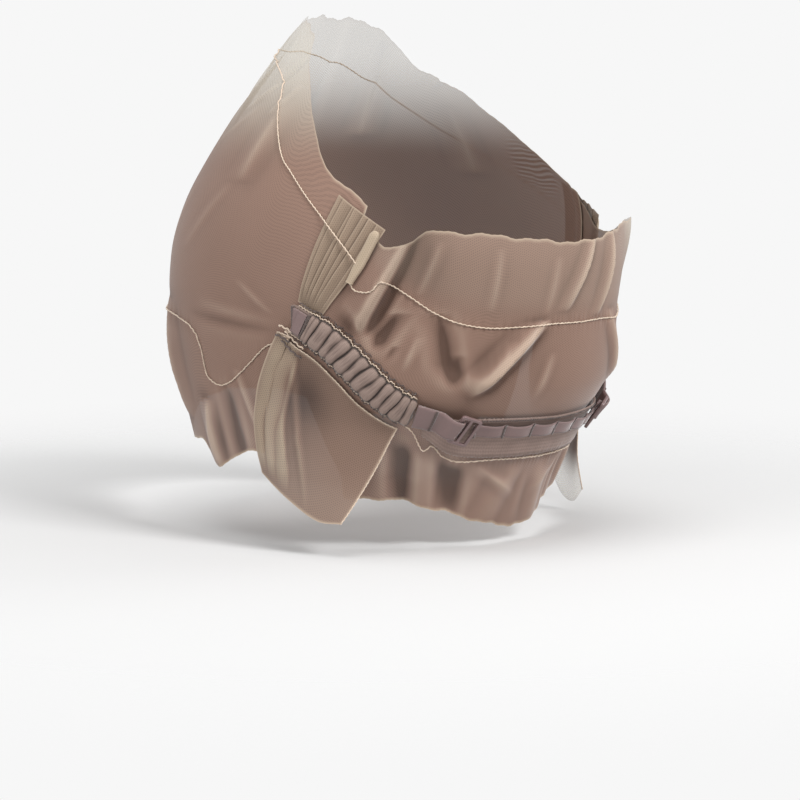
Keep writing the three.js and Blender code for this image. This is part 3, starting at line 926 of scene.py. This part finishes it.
def strap_lift(angle, height, u, v):
    over = SLIDER_THICKNESS + SEWN_GAP + STRAP_THICKNESS + SEWN_GAP
    slot_from = SLIDER_MIDDLE - (SLIDER_BAR / 2 + SLIDER_SLOT * SLOT_ENTRY) / STRAP_LENGTH
    slot_to = SLIDER_MIDDLE - (SLIDER_BAR / 2 + SLIDER_SLOT * SLOT_EXIT) / STRAP_LENGTH
    climb_from = SLIDER_MIDDLE - (SLIDER_LENGTH / 2 + STRAP_CLIMB) / STRAP_LENGTH
    climb = (STRAP_CLIMB - SLIDER_BAR) / STRAP_LENGTH
    risen = smooth((u - climb_from) / climb)
    dipped = np.clip((u - slot_from) / (slot_to - slot_from), 0, 1)
    return sewn_on(angle, height, STRAP_UNDER, STRAP_THICKNESS) + over * risen * (1 - dipped)


strap_place = strip(strap_line, lambda u: STRAP_WIDTH, strap_lift)


def band_place(u, v):
    end = 180 - BAND_EDGES[0][0]
    angle = 180 + (2 * u - 1) * end
    side = from_front(angle)
    upper = read_table(BAND_EDGES, 1, side) + 0.25 / DOME_HEIGHT * np.sin(side * 7)
    lower = read_table(BAND_EDGES, 2, side) + 0.2 / DOME_HEIGHT * np.sin(side * 5 + 1)
    height = mix(lower, upper, v)
    return over_head(angle, height, sewn_on(angle, height, 0, BAND_THICKNESS))


def ribbon_start():
    turned, _ = head_steps(np.array(STRAP_END[0]), np.array(STRAP_END[1]))
    return STRAP_END[0] + (SLIDER_SLOT + SLIDER_BAR / 2) / float(np.linalg.norm(turned))


RIBBON_START = ribbon_start()


def ribbon_line(t):
    t = np.asarray(t, float)
    sag = 1 - np.abs(2 * t - 1) ** 2
    return mix(RIBBON_START, 360 - RIBBON_START, t), mix(-0.51, -0.52, sag)


def ribbon_lift(angle, height, u, v):
    loop = np.abs(np.sin(np.pi * LOOP_COUNT * u)) ** 0.7
    inner = smooth(u * LOOP_COUNT) * smooth((1 - u) * LOOP_COUNT)
    return sewn_on(angle, height, STRAP_UNDER, RIBBON_THICKNESS) + LOOP_RISE * loop * inner


ribbon_place = strip(ribbon_line, lambda u: RIBBON_WIDTH, ribbon_lift)


def slider_mesh():
    """A small frame with two slots, its bars rounded, laid square to the strap."""
    bm = bmesh.new()
    bmesh.ops.create_grid(bm, x_segments=5, y_segments=3, size=0.5)
    half = SLIDER_LENGTH / 2
    bars = [-half, -half + SLIDER_BAR, -SLIDER_BAR / 2, SLIDER_BAR / 2, half - SLIDER_BAR, half]
    tall = SLIDER_HEIGHT / 2
    rails = [-tall, -tall + SLIDER_BAR, tall - SLIDER_BAR, tall]
    for vert in bm.verts:
        column = round((vert.co.x + 0.5) * 5)
        row = round((vert.co.y + 0.5) * 3)
        vert.co = (bars[column], rails[row], 0)
    middles = [(face, face.calc_center_median()) for face in bm.faces]
    inside = half - SLIDER_BAR
    holes = [face for face, m in middles if abs(m.y) < rails[2] and SLIDER_BAR / 2 < abs(m.x) < inside]
    bmesh.ops.delete(bm, geom=holes, context="FACES")
    made = bmesh.ops.extrude_face_region(bm, geom=bm.faces[:])
    top = [item for item in made["geom"] if isinstance(item, bmesh.types.BMVert)]
    bmesh.ops.translate(bm, verts=top, vec=(0, 0, SLIDER_THICKNESS))
    bmesh.ops.recalc_face_normals(bm, faces=bm.faces)
    close = 0.01
    corners = [
        e
        for e in bm.edges
        if abs(e.verts[0].co.z - e.verts[1].co.z) > SLIDER_THICKNESS / 2
        and abs(e.verts[0].co.x) > half - close
        and abs(e.verts[0].co.y) > tall - close
    ]
    style = {"profile": 0.5, "affect": "EDGES", "material": -1}
    bmesh.ops.bevel(bm, geom=corners, offset=SLIDER_CORNER, segments=4, **style)
    sharp = [e for e in bm.edges if len(e.link_faces) == 2 and e.calc_face_angle() > 0.6]
    bmesh.ops.bevel(bm, geom=sharp, offset=SLIDER_EDGE, segments=3, **style)
    bmesh.ops.remove_doubles(bm, verts=bm.verts, dist=0.001)
    bmesh.ops.dissolve_degenerate(bm, edges=bm.edges, dist=0.001)
    level = strip(strap_line, lambda u: STRAP_WIDTH, lambda a, h, u, v: sewn_on(a, h, SLIDER_UNDER, 0))
    t = np.array(SLIDER_MIDDLE)
    lower = level(t, np.array(0.0))
    upper = level(t, np.array(1.0))
    across = unit(upper - lower)
    ahead = level(t + 0.05, np.array(0.5)) - level(t - 0.05, np.array(0.5))
    out = unit(np.cross(ahead, across))
    along = np.cross(across, out)
    centre = (lower + upper) / 2
    for vert in bm.verts:
        x, y, z = vert.co
        vert.co = Vector(centre + along * x + across * y + out * z)
    return bm


def stitched(points, pitch, sway, radius):
    """A thread stitched along points on cloth: it dips at each stitch and sways a little to both sides."""
    run = np.concatenate([[0], np.cumsum(np.linalg.norm(np.diff(points, axis=0), axis=1))])
    count = max(int(run[-1] / pitch), 2) * STITCH_STEPS
    at = np.linspace(0, run[-1], count + 1)
    path = np.stack([np.interp(at, run, points[:, axis]) for axis in range(3)], -1)
    stitch = np.arange(count + 1) / STITCH_STEPS * 2 * np.pi
    along = unit(np.gradient(path, axis=0))
    out = unit(path * OUTWARD)
    across = unit(np.cross(along, out))
    path = path + across * (sway * np.sin(stitch))[:, None] + out * (0.09 * np.cos(2 * stitch))[:, None]
    twist = 2 * np.pi * count / (2 * STITCH_STEPS)
    return tube(path, lambda t, turn: radius * (1 + 0.18 * np.cos(2 * turn + twist * t)))


def thread_line(rows, over, mirrored):
    """Points on the cloth along a thread's table. The folds differ from side to side, so a mirrored
    thread is laid on its own side and then turned over, because its piece is mirrored when finished."""
    keys = np.linspace(rows[0][0], rows[-1][0], 1600)
    heights = read_table(rows, 1, keys)
    angles = 360 - keys if mirrored else keys
    points = over_head(angles, heights, lace_lift(angles, heights) + over(keys))
    return points * ([-1, 1, 1] if mirrored else [1, 1, 1])


def edge_spot(place, u, v, over):
    """A point over a piece's own grid."""
    reach = 0.003
    along_u = place(u + reach, v) - place(u - reach, v)
    along_v = place(u, v + reach) - place(u, v - reach)
    return place(u, v) + unit(np.cross(along_u, along_v)) * np.asarray(over)[..., None]


def edge_line(place, start, end, over):
    """Points along a straight line of a piece's own grid, over its middle."""
    t = np.linspace(0, 1, 900)
    return edge_spot(place, mix(start[0], end[0], t), mix(start[1], end[1], t), over)


def onto_pleats(keys):
    """The crest thread runs on the front lace and climbs over the side pleats."""
    return mix(0.4, 2.1, smooth((keys - 108) / 5))


def bar_tack(place, u, low, high, width, over):
    """A bar of close satin stitches across a tape, at u and from low to high across it."""

    def spot(s, t):
        along = u + (s - 0.5) * width
        stitch = 0.1 * np.abs(np.sin(np.pi * 9 * t))
        crown = 0.22 * (1 - (2 * s - 1) ** 2)
        return edge_spot(place, along, mix(low, high, t), over + crown + stitch)

    return wall(8, 54, spot, even(TACK_THICKNESS))


# Materials.


def feed(socket, value):
    """Joins another node's output to a socket, or gives the socket a plain value."""
    if isinstance(value, bpy.types.NodeSocket):
        socket.id_data.links.new(value, socket)
    else:
        socket.default_value = value


def shader_node(tree, kind, sockets=(), **settings):
    """A new node with its settings made, and then its sockets fed, each by its name or number."""
    node = tree.nodes.new("ShaderNode" + kind)
    for setting, value in settings.items():
        setattr(node, setting, value)
    for label, value in dict(sockets).items():
        feed(node.inputs[label], value)
    return node


def worked_out(tree, operation, *values, clamp=False):
    """The result of a Math node."""
    return shader_node(tree, "Math", enumerate(values), operation=operation, use_clamp=clamp).outputs[0]


def ranged(tree, value, **ends):
    """The result of a Map Range node, with those of its four ends that differ from 0 and 1."""
    sockets = {label.replace("_", " ").title(): end for label, end in ends.items()}
    return shader_node(tree, "MapRange", {"Value": value, **sockets}).outputs["Result"]


def blended(tree, share, first, second, blend_type="MIX"):
    """The colour of a Mix node: the first colour at a share of 0, and the second laid on it at 1."""
    sockets = {"Factor": share, "A": first, "B": second}
    return shader_node(tree, "Mix", sockets, data_type="RGBA", blend_type=blend_type).outputs["Result"]


def object_place(tree):
    return shader_node(tree, "TexCoord").outputs["Object"]


def attribute(tree, name):
    return shader_node(tree, "Attribute", attribute_name=name).outputs["Fac"]


def bumped(tree, height, strength, depth):
    sockets = {"Height": height, "Strength": strength, "Distance": depth}
    return shader_node(tree, "Bump", sockets).outputs["Normal"]


def new_group(name, inputs, output):
    """A node group with one output, what it takes in, and the socket that gives its output."""
    group = bpy.data.node_groups.new(name, "ShaderNodeTree")
    for label, kind, value in inputs:
        socket = group.interface.new_socket(name=label, in_out="INPUT", socket_type="NodeSocket" + kind)
        if value is not None:
            socket.default_value = value
    label, kind = output
    group.interface.new_socket(name=label, in_out="OUTPUT", socket_type="NodeSocket" + kind)
    taken = group.nodes.new("NodeGroupInput").outputs
    given = group.nodes.new("NodeGroupOutput").inputs[label]
    return group, taken, given


def net_group():
    """A fine net of threads round six-sided holes. Cover is 1 on a thread and 0 in a hole."""
    inputs = [
        ("Place", "Vector", None),
        ("Mesh Size", "Float", 0.0011),
        ("Thread Level", "Float", 0.2),
        ("Soft Edge", "Float", 0.5),
    ]
    group, taken, given = new_group("fine_net", inputs, ("Cover", "Float"))
    pitch = worked_out(group, "DIVIDE", 4 * math.pi / math.sqrt(3), taken["Mesh Size"])
    scaled = shader_node(group, "VectorMath", {0: taken["Place"], "Scale": pitch}, operation="SCALE")
    total = 0
    for turn in (0, 120, 240):
        ahead = (math.cos(math.radians(turn)), math.sin(math.radians(turn)), 0)
        sockets = {0: scaled.outputs[0], 1: ahead}
        along = shader_node(group, "VectorMath", sockets, operation="DOT_PRODUCT").outputs["Value"]
        total = worked_out(group, "ADD", total, worked_out(group, "COSINE", along))
    level = taken["Thread Level"]
    open_hole = worked_out(group, "ADD", level, taken["Soft Edge"])
    feed(given, ranged(group, total, from_min=level, from_max=open_hole, to_min=1, to_max=0))
    return group


def dye_group():
    """Slow uneven colour, as dyed cloth has."""
    inputs = [
        ("Colour", "Color", (0.5, 0.4, 0.3, 1)),
        ("Darker", "Color", (0.4, 0.3, 0.2, 1)),
        ("Patch Size", "Float", 0.02),
        ("Share", "Float", 0.5),
    ]
    group, taken, given = new_group("uneven_dye", inputs, ("Colour", "Color"))
    scale = worked_out(group, "DIVIDE", 1, taken["Patch Size"])
    noise = shader_node(group, "TexNoise", {"Vector": object_place(group), "Scale": scale, "Detail": 4})
    share = worked_out(group, "MULTIPLY", noise.outputs["Fac"], taken["Share"])
    feed(given, blended(group, share, taken["Colour"], taken["Darker"]))
    return group


def ribs_group():
    """Fine ribs across two directions, as woven tape has. Height is for a bump."""
    inputs = [
        ("Place", "Vector", None),
        ("Pitch Along", "Float", 0.0006),
        ("Pitch Across", "Float", 0.0009),
    ]
    group, taken, given = new_group("woven_ribs", inputs, ("Height", "Float"))
    parts = shader_node(group, "SeparateXYZ", {0: taken["Place"]}).outputs
    waves = []
    for axis, label in (("X", "Pitch Along"), ("Y", "Pitch Across")):
        turns = worked_out(group, "DIVIDE", parts[axis], taken[label])
        waves.append(worked_out(group, "SINE", worked_out(group, "MULTIPLY", turns, 2 * math.pi)))
    along_height = 0.6
    highest = 1 + along_height
    woven = worked_out(group, "MULTIPLY_ADD", waves[0], along_height, waves[1])
    feed(given, ranged(group, woven, from_min=-highest, from_max=highest))
    return group


def fold_light_group():
    """Cloth is painted paler along a raised fold, as a painted highlight and where it lies double, and
    darker in a hollow, as painted shade.
    """
    inputs = [
        ("Colour", "Color", (0.5, 0.4, 0.3, 1)),
        ("Crest Highlight", "Color", (0.6, 0.5, 0.4, 1)),
        ("Hollow Shade", "Color", (0.2, 0.15, 0.1, 1)),
        ("Relief", "Float", 0.0),
        ("Full Relief", "Float", 0.8),
    ]
    group, taken, given = new_group("painted_fold_light", inputs, ("Colour", "Color"))
    share = worked_out(group, "DIVIDE", taken["Relief"], taken["Full Relief"])
    highlighted = blended(group, ranged(group, share), taken["Colour"], taken["Crest Highlight"])
    feed(given, blended(group, ranged(group, share, from_max=-1), highlighted, taken["Hollow Shade"]))
    return group


FINE_NET = net_group()
FOLD_LIGHT = fold_light_group()
UNEVEN_DYE = dye_group()
WOVEN_RIBS = ribs_group()


def placed(tree, group, sockets):
    """The output of a node group that is placed in a material."""
    return shader_node(tree, "Group", sockets, node_tree=group).outputs[0]


def dyed(tree, colour, darker, patch, share):
    sockets = {"Colour": colour, "Darker": darker, "Patch Size": patch, "Share": share}
    return placed(tree, UNEVEN_DYE, sockets)


# Paints light and shade on a colour from the shading attribute: a painted highlight on crests, painted shade
# in hollows.
def folded(tree, colour, raised, hollow_shade, full_relief):
    sockets = {"Colour": colour, "Crest Highlight": raised, "Hollow Shade": hollow_shade, "Full Relief": full_relief}
    return placed(tree, FOLD_LIGHT, {"Relief": attribute(tree, "shading_relief"), **sockets})


def cloth_place(tree):
    return shader_node(tree, "UVMap", uv_map="cloth").outputs["UV"]


def ribbed(tree, along, across):
    sockets = {"Place": cloth_place(tree), "Pitch Along": along, "Pitch Across": across}
    return placed(tree, WOVEN_RIBS, sockets)


def start_material(name, finish):
    """A material with its node tree and its shader's sockets; finish holds plain values for these."""
    material = bpy.data.materials.new(name)
    material.use_nodes = True
    surface = material.node_tree.nodes["Principled BSDF"].inputs
    for label, value in finish.items():
        feed(surface[label], value)
    return material, material.node_tree, surface


NET_THREADS = {"Mesh Size": 0.00092, "Thread Level": 0.1, "Soft Edge": 1.3}
RIM_COVER = 0.35  # how much denser the raw edge is
BAREST_COVER = 0.41  # how much of its cover the sheerest net keeps


def net_material(name, colour, darker, raised, hollow_shade, rim, bare, open_alpha, hole_tone, full_relief):
    """Sheer net: threads that cover, holes that let light through, and a denser raw edge; a painted
    highlight on fold crests and painted shade in hollows.
    """
    finish = {"Roughness": 0.75, "Specular IOR Level": 0.25, "Sheen Weight": 0.25, "Sheen Roughness": 0.4}
    material, tree, surface = start_material(name, finish)
    near_rim = attribute(tree, "rim")
    spare = attribute(tree, "spare")
    net = placed(tree, FINE_NET, {"Place": cloth_place(tree), **NET_THREADS})
    whole = folded(tree, dyed(tree, colour, darker, 0.03, 0.7), raised, hollow_shade, full_relief)
    hole = ranged(tree, net, to_min=1, to_max=0)
    hole_shade = (hole_tone, hole_tone, hole_tone, 1)
    dimmed = blended(tree, hole, blended(tree, spare, whole, bare), hole_shade, "MULTIPLY")
    feed(surface["Base Color"], blended(tree, near_rim, dimmed, rim))
    cover = ranged(tree, net, to_min=open_alpha)
    denser = worked_out(tree, "MULTIPLY_ADD", near_rim, RIM_COVER, cover, clamp=True)
    kept = ranged(tree, spare, to_min=1, to_max=BAREST_COVER)
    feed(surface["Alpha"], worked_out(tree, "MULTIPLY", denser, kept))
    feed(surface["Normal"], bumped(tree, net, 0.1, 0.0002))
    return material


def tape_material(name, colour, darker, raised, hollow_shade, roughness, sheen, along, across, depth):
    """Woven tape: fine ribs in two directions and a slightly uneven dye, with a painted highlight on gathers
    and painted shade in grooves where the piece has relief.
    """
    finish = {"Roughness": roughness, "Sheen Weight": sheen, "Sheen Roughness": 0.3}
    material, tree, surface = start_material(name, finish)
    ribs = ribbed(tree, along, across)
    whole = folded(tree, dyed(tree, colour, darker, 0.006, 0.8), raised, hollow_shade, 0.7)
    between_ribs = ranged(tree, ribs, to_min=0.8, to_max=0)
    rib_shade = (0.72, 0.7, 0.68, 1)
    feed(surface["Base Color"], blended(tree, between_ribs, whole, rib_shade, "MULTIPLY"))
    feed(surface["Normal"], bumped(tree, ribs, 0.6, depth))
    return material


def thread_material(name, colour, darker):
    """Twisted thread with a soft sheen."""
    material, tree, surface = start_material(name, {"Roughness": 0.6, "Sheen Weight": 0.4})
    feed(surface["Base Color"], dyed(tree, colour, darker, 0.004, 0.8))
    feed(surface["Normal"], bumped(tree, ribbed(tree, 0.001, 0.0005), 0.5, 0.0001))
    return material


def coated_material(name, colour, worn):
    """Smooth enamel on metal, with a fine grain."""
    finish = {"Roughness": 0.38, "Coat Weight": 0.35, "Coat Roughness": 0.25}
    material, tree, surface = start_material(name, finish)
    feed(surface["Base Color"], dyed(tree, colour, worn, 0.0025, 0.7))
    grain = shader_node(tree, "TexNoise", {"Vector": object_place(tree), "Scale": 2500})
    feed(surface["Normal"], bumped(tree, grain.outputs["Fac"], 0.15, 0.0001))
    return material


# In each net below, the raised colour is a painted highlight on fold crests and the hollow colour painted
# shade in hollows.
LACE = net_material(
    "wig_lace",
    colour=(0.262, 0.163, 0.123, 1),
    darker=(0.212, 0.13, 0.098, 1),
    raised=(0.42, 0.31, 0.24, 1),
    hollow_shade=(0.1, 0.056, 0.04, 1),
    rim=(0.46, 0.36, 0.27, 1),
    bare=(0.57, 0.51, 0.41, 1),
    open_alpha=0.84,
    hole_tone=0.85,
    full_relief=1.1,
)
# A darker copy of the lace for the ear flaps: painted shade, as if they hung in shadow.
SHADED_FLAP_LACE = net_material(
    "flap_lace_shaded",
    colour=(0.218, 0.141, 0.106, 1),
    darker=(0.178, 0.115, 0.087, 1),
    raised=(0.36, 0.285, 0.205, 1),
    hollow_shade=(0.066, 0.041, 0.033, 1),
    rim=(0.42, 0.33, 0.25, 1),
    bare=(0.56, 0.5, 0.4, 1),
    open_alpha=0.9,
    hole_tone=0.74,
    full_relief=1.2,
)
PLEAT_LACE = net_material(
    "doubled_lace",
    colour=(0.28, 0.205, 0.15, 1),
    darker=(0.23, 0.168, 0.12, 1),
    raised=(0.42, 0.325, 0.24, 1),
    hollow_shade=(0.11, 0.073, 0.05, 1),
    rim=(0.4, 0.31, 0.23, 1),
    bare=(0.56, 0.5, 0.4, 1),
    open_alpha=0.88,
    hole_tone=0.88,
    full_relief=0.5,
)
ROLLED_LACE = net_material(
    "rolled_lace",
    colour=(0.42, 0.33, 0.24, 1),
    darker=(0.36, 0.28, 0.2, 1),
    raised=(0.5, 0.41, 0.31, 1),
    hollow_shade=(0.2, 0.14, 0.1, 1),
    rim=(0.5, 0.41, 0.3, 1),
    bare=(0.6, 0.55, 0.45, 1),
    open_alpha=0.92,
    hole_tone=0.9,
    full_relief=0.6,
)
# The casing's raised colour is a painted highlight on its gathers, and its near-black hollow colour painted
# shade in its grooves.
RUCHED = tape_material(
    "ruched_elastic",
    colour=(0.215, 0.15, 0.125, 1),
    darker=(0.17, 0.117, 0.099, 1),
    raised=(0.31, 0.225, 0.19, 1),
    hollow_shade=(0.035, 0.022, 0.017, 1),
    roughness=0.7,
    sheen=0.3,
    along=0.0007,
    across=0.0005,
    depth=0.0002,
)
NAPE = tape_material(
    "nape_elastic",
    colour=(0.29, 0.205, 0.175, 1),
    darker=(0.23, 0.16, 0.135, 1),
    raised=(0.34, 0.25, 0.22, 1),
    hollow_shade=(0.12, 0.08, 0.065, 1),
    roughness=0.7,
    sheen=0.3,
    along=0.0011,
    across=0.0016,
    depth=0.00015,
)
SATIN = tape_material(
    "mauve_satin",
    colour=(0.23, 0.152, 0.145, 1),
    darker=(0.19, 0.125, 0.12, 1),
    raised=(0.3, 0.21, 0.2, 1),
    hollow_shade=(0.12, 0.075, 0.07, 1),
    roughness=0.42,
    sheen=0.5,
    along=0.0004,
    across=0.0005,
    depth=0.0001,
)
THREAD = thread_material("cream_thread", (0.68, 0.54, 0.42, 1), (0.5, 0.38, 0.28, 1))
# Dark thread for the real tacks, also used for dark lines that are painted shadow: beside the casing's
# edges, along the band's upper edge and under the flap's corner stitches.
TACK_AND_SHADOW_LINE = thread_material("mauve_tack_and_shadow_line", (0.085, 0.054, 0.045, 1), (0.055, 0.034, 0.029, 1))
COATED = coated_material("mauve_enamel", (0.2, 0.13, 0.125, 1), (0.14, 0.085, 0.085, 1))


# Pieces.


def add(name, bm, material, mirrored=False, replaces=None):
    piece = finish_piece(name, bm, material, mirrored)
    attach(piece, "root")
    if replaces:
        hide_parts(replaces)
    return piece


def add_lace_panel(name, place, shading_relief, spare):
    net = laid_grid(280, 150, place, rim=1.2, shading_relief=shading_relief, spare=spare)
    return add(f"{name}_net", net, LACE, replaces=name)


def band_thickness(u, v):
    """The band is thinner along its two edges."""
    return BAND_THICKNESS * (1 - 0.5 * (2 * v - 1) ** 6)


def add_nape_band():
    band_wall = wall(160, 10, band_place, band_thickness)
    return add("nape_band_elastic", band_wall, NAPE, replaces="nape_band")


def add_loop_ribbon():
    """The ribbon, with a tack at each end and between its loops, and the dark stitch line over it, along the
    band's upper edge, which is also painted shadow.
    """
    ribbon_wall = wall(180, 6, ribbon_place, even(SATIN_THICKNESS))
    add("loop_ribbon_satin", ribbon_wall, SATIN, replaces="loop_ribbon")
    for count in range(LOOP_COUNT + 1):
        u = float(np.clip(count / LOOP_COUNT, 0.012, 0.988))
        tack = bar_tack(ribbon_place, u, low=-0.12, high=1.12, width=0.014, over=0.3)
        add(f"ribbon_tack_{count + 1}", tack, TACK_AND_SHADOW_LINE)
    line = edge_line(band_place, (0.02, 0.97), (0.98, 0.97), 0.5)
    stitch = stitched(line, pitch=1.5, sway=0.08, radius=0.17)
    add("nape_band_upper_stitch_shadow", stitch, TACK_AND_SHADOW_LINE)


def add_pleats(side, mirrored):
    pleats_net = laid_grid(150, 60, pleats_place, rim=0.7, shading_relief=pleats_height)
    name = f"side_pleats_net_{side}"
    pleats = add(name, pleats_net, PLEAT_LACE, mirrored, f"side_pleats_{side}")
    roll_net = laid_grid(24, 60, roll_place, rim=0.4, shading_relief=roll_height)
    roll = add(f"pleat_roll_net_{side}", roll_net, ROLLED_LACE, mirrored)


def add_flap(side, mirrored):
    bare = flap_spare(FLAP_BARE[side])
    hung = flap_place(side)
    net = laid_grid(130, 80, hung, rim=1.0, shading_relief=flap_relief, spare=bare, layers_and_shade=flap_layers_and_shade)
    flap = add(f"ear_flap_net_{side}", net, SHADED_FLAP_LACE, mirrored, f"ear_flap_{side}")


def add_casing(side, mirrored):
    casing_wall = wall(240, 16, casing_place, casing_thickness, casing_relief)
    name = f"elastic_casing_ruched_{side}"
    casing = add(name, casing_wall, RUCHED, mirrored, f"elastic_casing_{side}")


def add_strap(side, mirrored):
    """The strap with its slider and its tack, and the tab with a tack at each end of it."""
    strap_wall = wall(80, 8, strap_place, even(STRAP_CLOTH))
    name = f"adjuster_strap_satin_{side}"
    add(name, strap_wall, SATIN, mirrored, f"adjuster_strap_{side}")
    add(f"slider_enamelled_{side}", slider_mesh(), COATED, mirrored, f"slider_{side}")
    strap_tack = bar_tack(strap_place, 0.34, low=0.0, high=1.0, width=0.045, over=0.4)
    add(f"strap_tack_{side}", strap_tack, TACK_AND_SHADOW_LINE, mirrored)
    end_tab = wall(24, 20, end_tab_place, even(SATIN_THICKNESS))
    add(f"casing_end_tab_{side}", end_tab, SATIN, mirrored)
    for end, u in (("front", TAB_TACK_IN), ("rear", END_TAB + TAB_TACK_IN)):
        tack = bar_tack(casing_place, u, low=0.02, high=0.98, width=0.012, over=0.75)
        add(f"casing_{end}_tack_{side}", tack, TACK_AND_SHADOW_LINE, mirrored)


def add_hairline_threads(side, mirrored):
    for line_name, rows, over in (
        ("brow", BROW_THREAD, even(0.4)),
        ("crown", CROWN_THREAD, even(0.4)),
        ("nape", NAPE_THREAD, even(1.0)),
        ("crest", RIGHT_CREST_THREAD if mirrored else LEFT_CREST_THREAD, onto_pleats),
    ):
        thread = stitched(thread_line(rows, over, mirrored), pitch=1.8, sway=0.1, radius=0.24)
        add(f"{line_name}_thread_{side}", thread, THREAD, mirrored)


def add_casing_threads(side, mirrored):
    """A cream thread along each edge of the casing, with a dark thread just beyond it that is painted shadow
    along the edge.
    """
    for edge, v, paint, radius in (
        ("upper", 1.04, THREAD, 0.2),
        ("upper_shadow_line", 1.13, TACK_AND_SHADOW_LINE, 0.2),
        ("lower", -0.04, THREAD, 0.18),
        ("lower_shadow_line", -0.12, TACK_AND_SHADOW_LINE, 0.18),
    ):
        line = edge_line(casing_place, (0.02, v), (0.99, v), -0.1)
        thread = stitched(line, pitch=1.4, sway=0.22, radius=radius)
        add(f"casing_{edge}_thread_{side}", thread, paint, mirrored)


def add_flap_threads(side, mirrored):
    """The stitches at the flap's front corner, a pale thread with a dark one below it that is painted shade,
    and the binding along its top and rear edges.
    """
    hung = flap_place(side)
    for tone, v, paint, radius in (("pale", 1.05, THREAD, 0.34), ("shadow", 0.985, TACK_AND_SHADOW_LINE, 0.36)):
        line = edge_line(hung, (-0.02, v), (0.28, v - 0.03), 0.3)
        thread = stitched(line, pitch=2.6, sway=0.25, radius=radius)
        add(f"flap_corner_{tone}_thread_{side}", thread, paint, mirrored)
    for edge, start, end in (("top", (0.0, 1.0), (1.0, 1.0)), ("rear", (1.0, 1.0), (1.0, 0.0))):
        binding = stitched(edge_line(hung, start, end, 0.1), pitch=1.6, sway=0.08, radius=0.22)
        add(f"flap_{edge}_binding_{side}", binding, THREAD, mirrored)


front = add_lace_panel("front_lace", front_place, front_relief, front_spare)
back = add_lace_panel("back_lace", back_place, back_relief, back_spare)
band = add_nape_band()
add_loop_ribbon()
for side, mirrored in (("left", False), ("right", True)):
    add_pleats(side, mirrored)
    add_flap(side, mirrored)
    add_casing(side, mirrored)
    add_strap(side, mirrored)
    add_hairline_threads(side, mirrored)
    add_casing_threads(side, mirrored)
    add_flap_threads(side, mirrored)

# The floor, the light and the camera.
FLOOR_HALF = 500
FLOOR_LEVEL = -92.5
FADE_FROM = 0.12  # metres from the middle of the floor to where it starts to fade, and where it is gone
FADE_TO = 0.42
AZIMUTH = math.radians(133)
ELEVATION = math.radians(5)
DISTANCE = 1.15
MIDDLE = Vector((0, 0, 0))


def pale_floor():
    """A floor that fades out into the backdrop."""
    paint, tree, surface = start_material("pale_floor", {"Roughness": 0.9, "Base Color": (0.6, 0.6, 0.6, 1)})
    away = shader_node(tree, "VectorMath", {0: object_place(tree)}, operation="LENGTH").outputs["Value"]
    ends = {"From Min": FADE_FROM, "From Max": FADE_TO, "To Min": 1, "To Max": 0}
    fading = shader_node(tree, "MapRange", {"Value": away, **ends}, interpolation_type="SMOOTHSTEP")
    feed(surface["Alpha"], fading.outputs["Result"])
    bm = bmesh.new()
    bmesh.ops.create_grid(bm, x_segments=1, y_segments=1, size=FLOOR_HALF)
    bmesh.ops.translate(bm, verts=bm.verts, vec=(0, 0, FLOOR_LEVEL))
    return finish_piece("floor", bm, paint)


def studio_world():
    """An even light all round, and a pale backdrop that only the camera sees."""
    world = bpy.data.worlds.new("studio")
    world.use_nodes = True
    tree = world.node_tree
    around = tree.nodes["Background"]
    feed(around.inputs["Color"], (1, 1, 1, 1))
    feed(around.inputs["Strength"], 0.5)
    backdrop = shader_node(tree, "Background", {"Color": (0.93, 0.93, 0.93, 1)})
    seen = shader_node(tree, "LightPath").outputs["Is Camera Ray"]
    sockets = {"Fac": seen, 1: around.outputs[0], 2: backdrop.outputs[0]}
    chosen = shader_node(tree, "MixShader", sockets)
    feed(tree.nodes["World Output"].inputs["Surface"], chosen.outputs[0])
    return world


def aimed(place):
    """The turn that points a light or a camera at the middle of the cap."""
    return (MIDDLE - Vector(place)).to_track_quat("-Z", "Y").to_euler()


def set_up(name, data, place):
    stand = bpy.data.objects.new(name, data)
    stand.location = place
    stand.rotation_euler = aimed(place)
    bpy.context.scene.collection.objects.link(stand)
    return stand


def softbox(name, place, size, watts):
    light = bpy.data.lights.new(name, "AREA")
    light.shape = "RECTANGLE"
    light.size = size[0]
    light.size_y = size[1]
    light.energy = watts
    set_up(name, light, place)


def photo_camera():
    """A camera at the place that the photograph was taken from."""
    lens = bpy.data.cameras.new("camera")
    lens.sensor_width = 36
    lens.lens = 131.96
    lens.shift_x = 0.0125
    lens.shift_y = -0.14
    level = DISTANCE * math.cos(ELEVATION)
    place = (level * math.sin(AZIMUTH), -level * math.cos(AZIMUTH), DISTANCE * math.sin(ELEVATION))
    return set_up("camera", lens, place)


pale_floor()
bpy.context.scene.world = studio_world()
softbox("key", (0.0, 1.5, 1.15), (0.6, 0.6), 29)
softbox("fill", (1.6, -0.3, 0.6), (1.2, 1.0), 13)
softbox("rim", (-1.5, 0.7, 0.5), (0.8, 0.8), 7)
softbox("top", (0.3, 0.1, 1.6), (0.9, 0.9), 11)
bpy.context.scene.camera = photo_camera()
bpy.context.scene.view_settings.view_transform = "Standard"
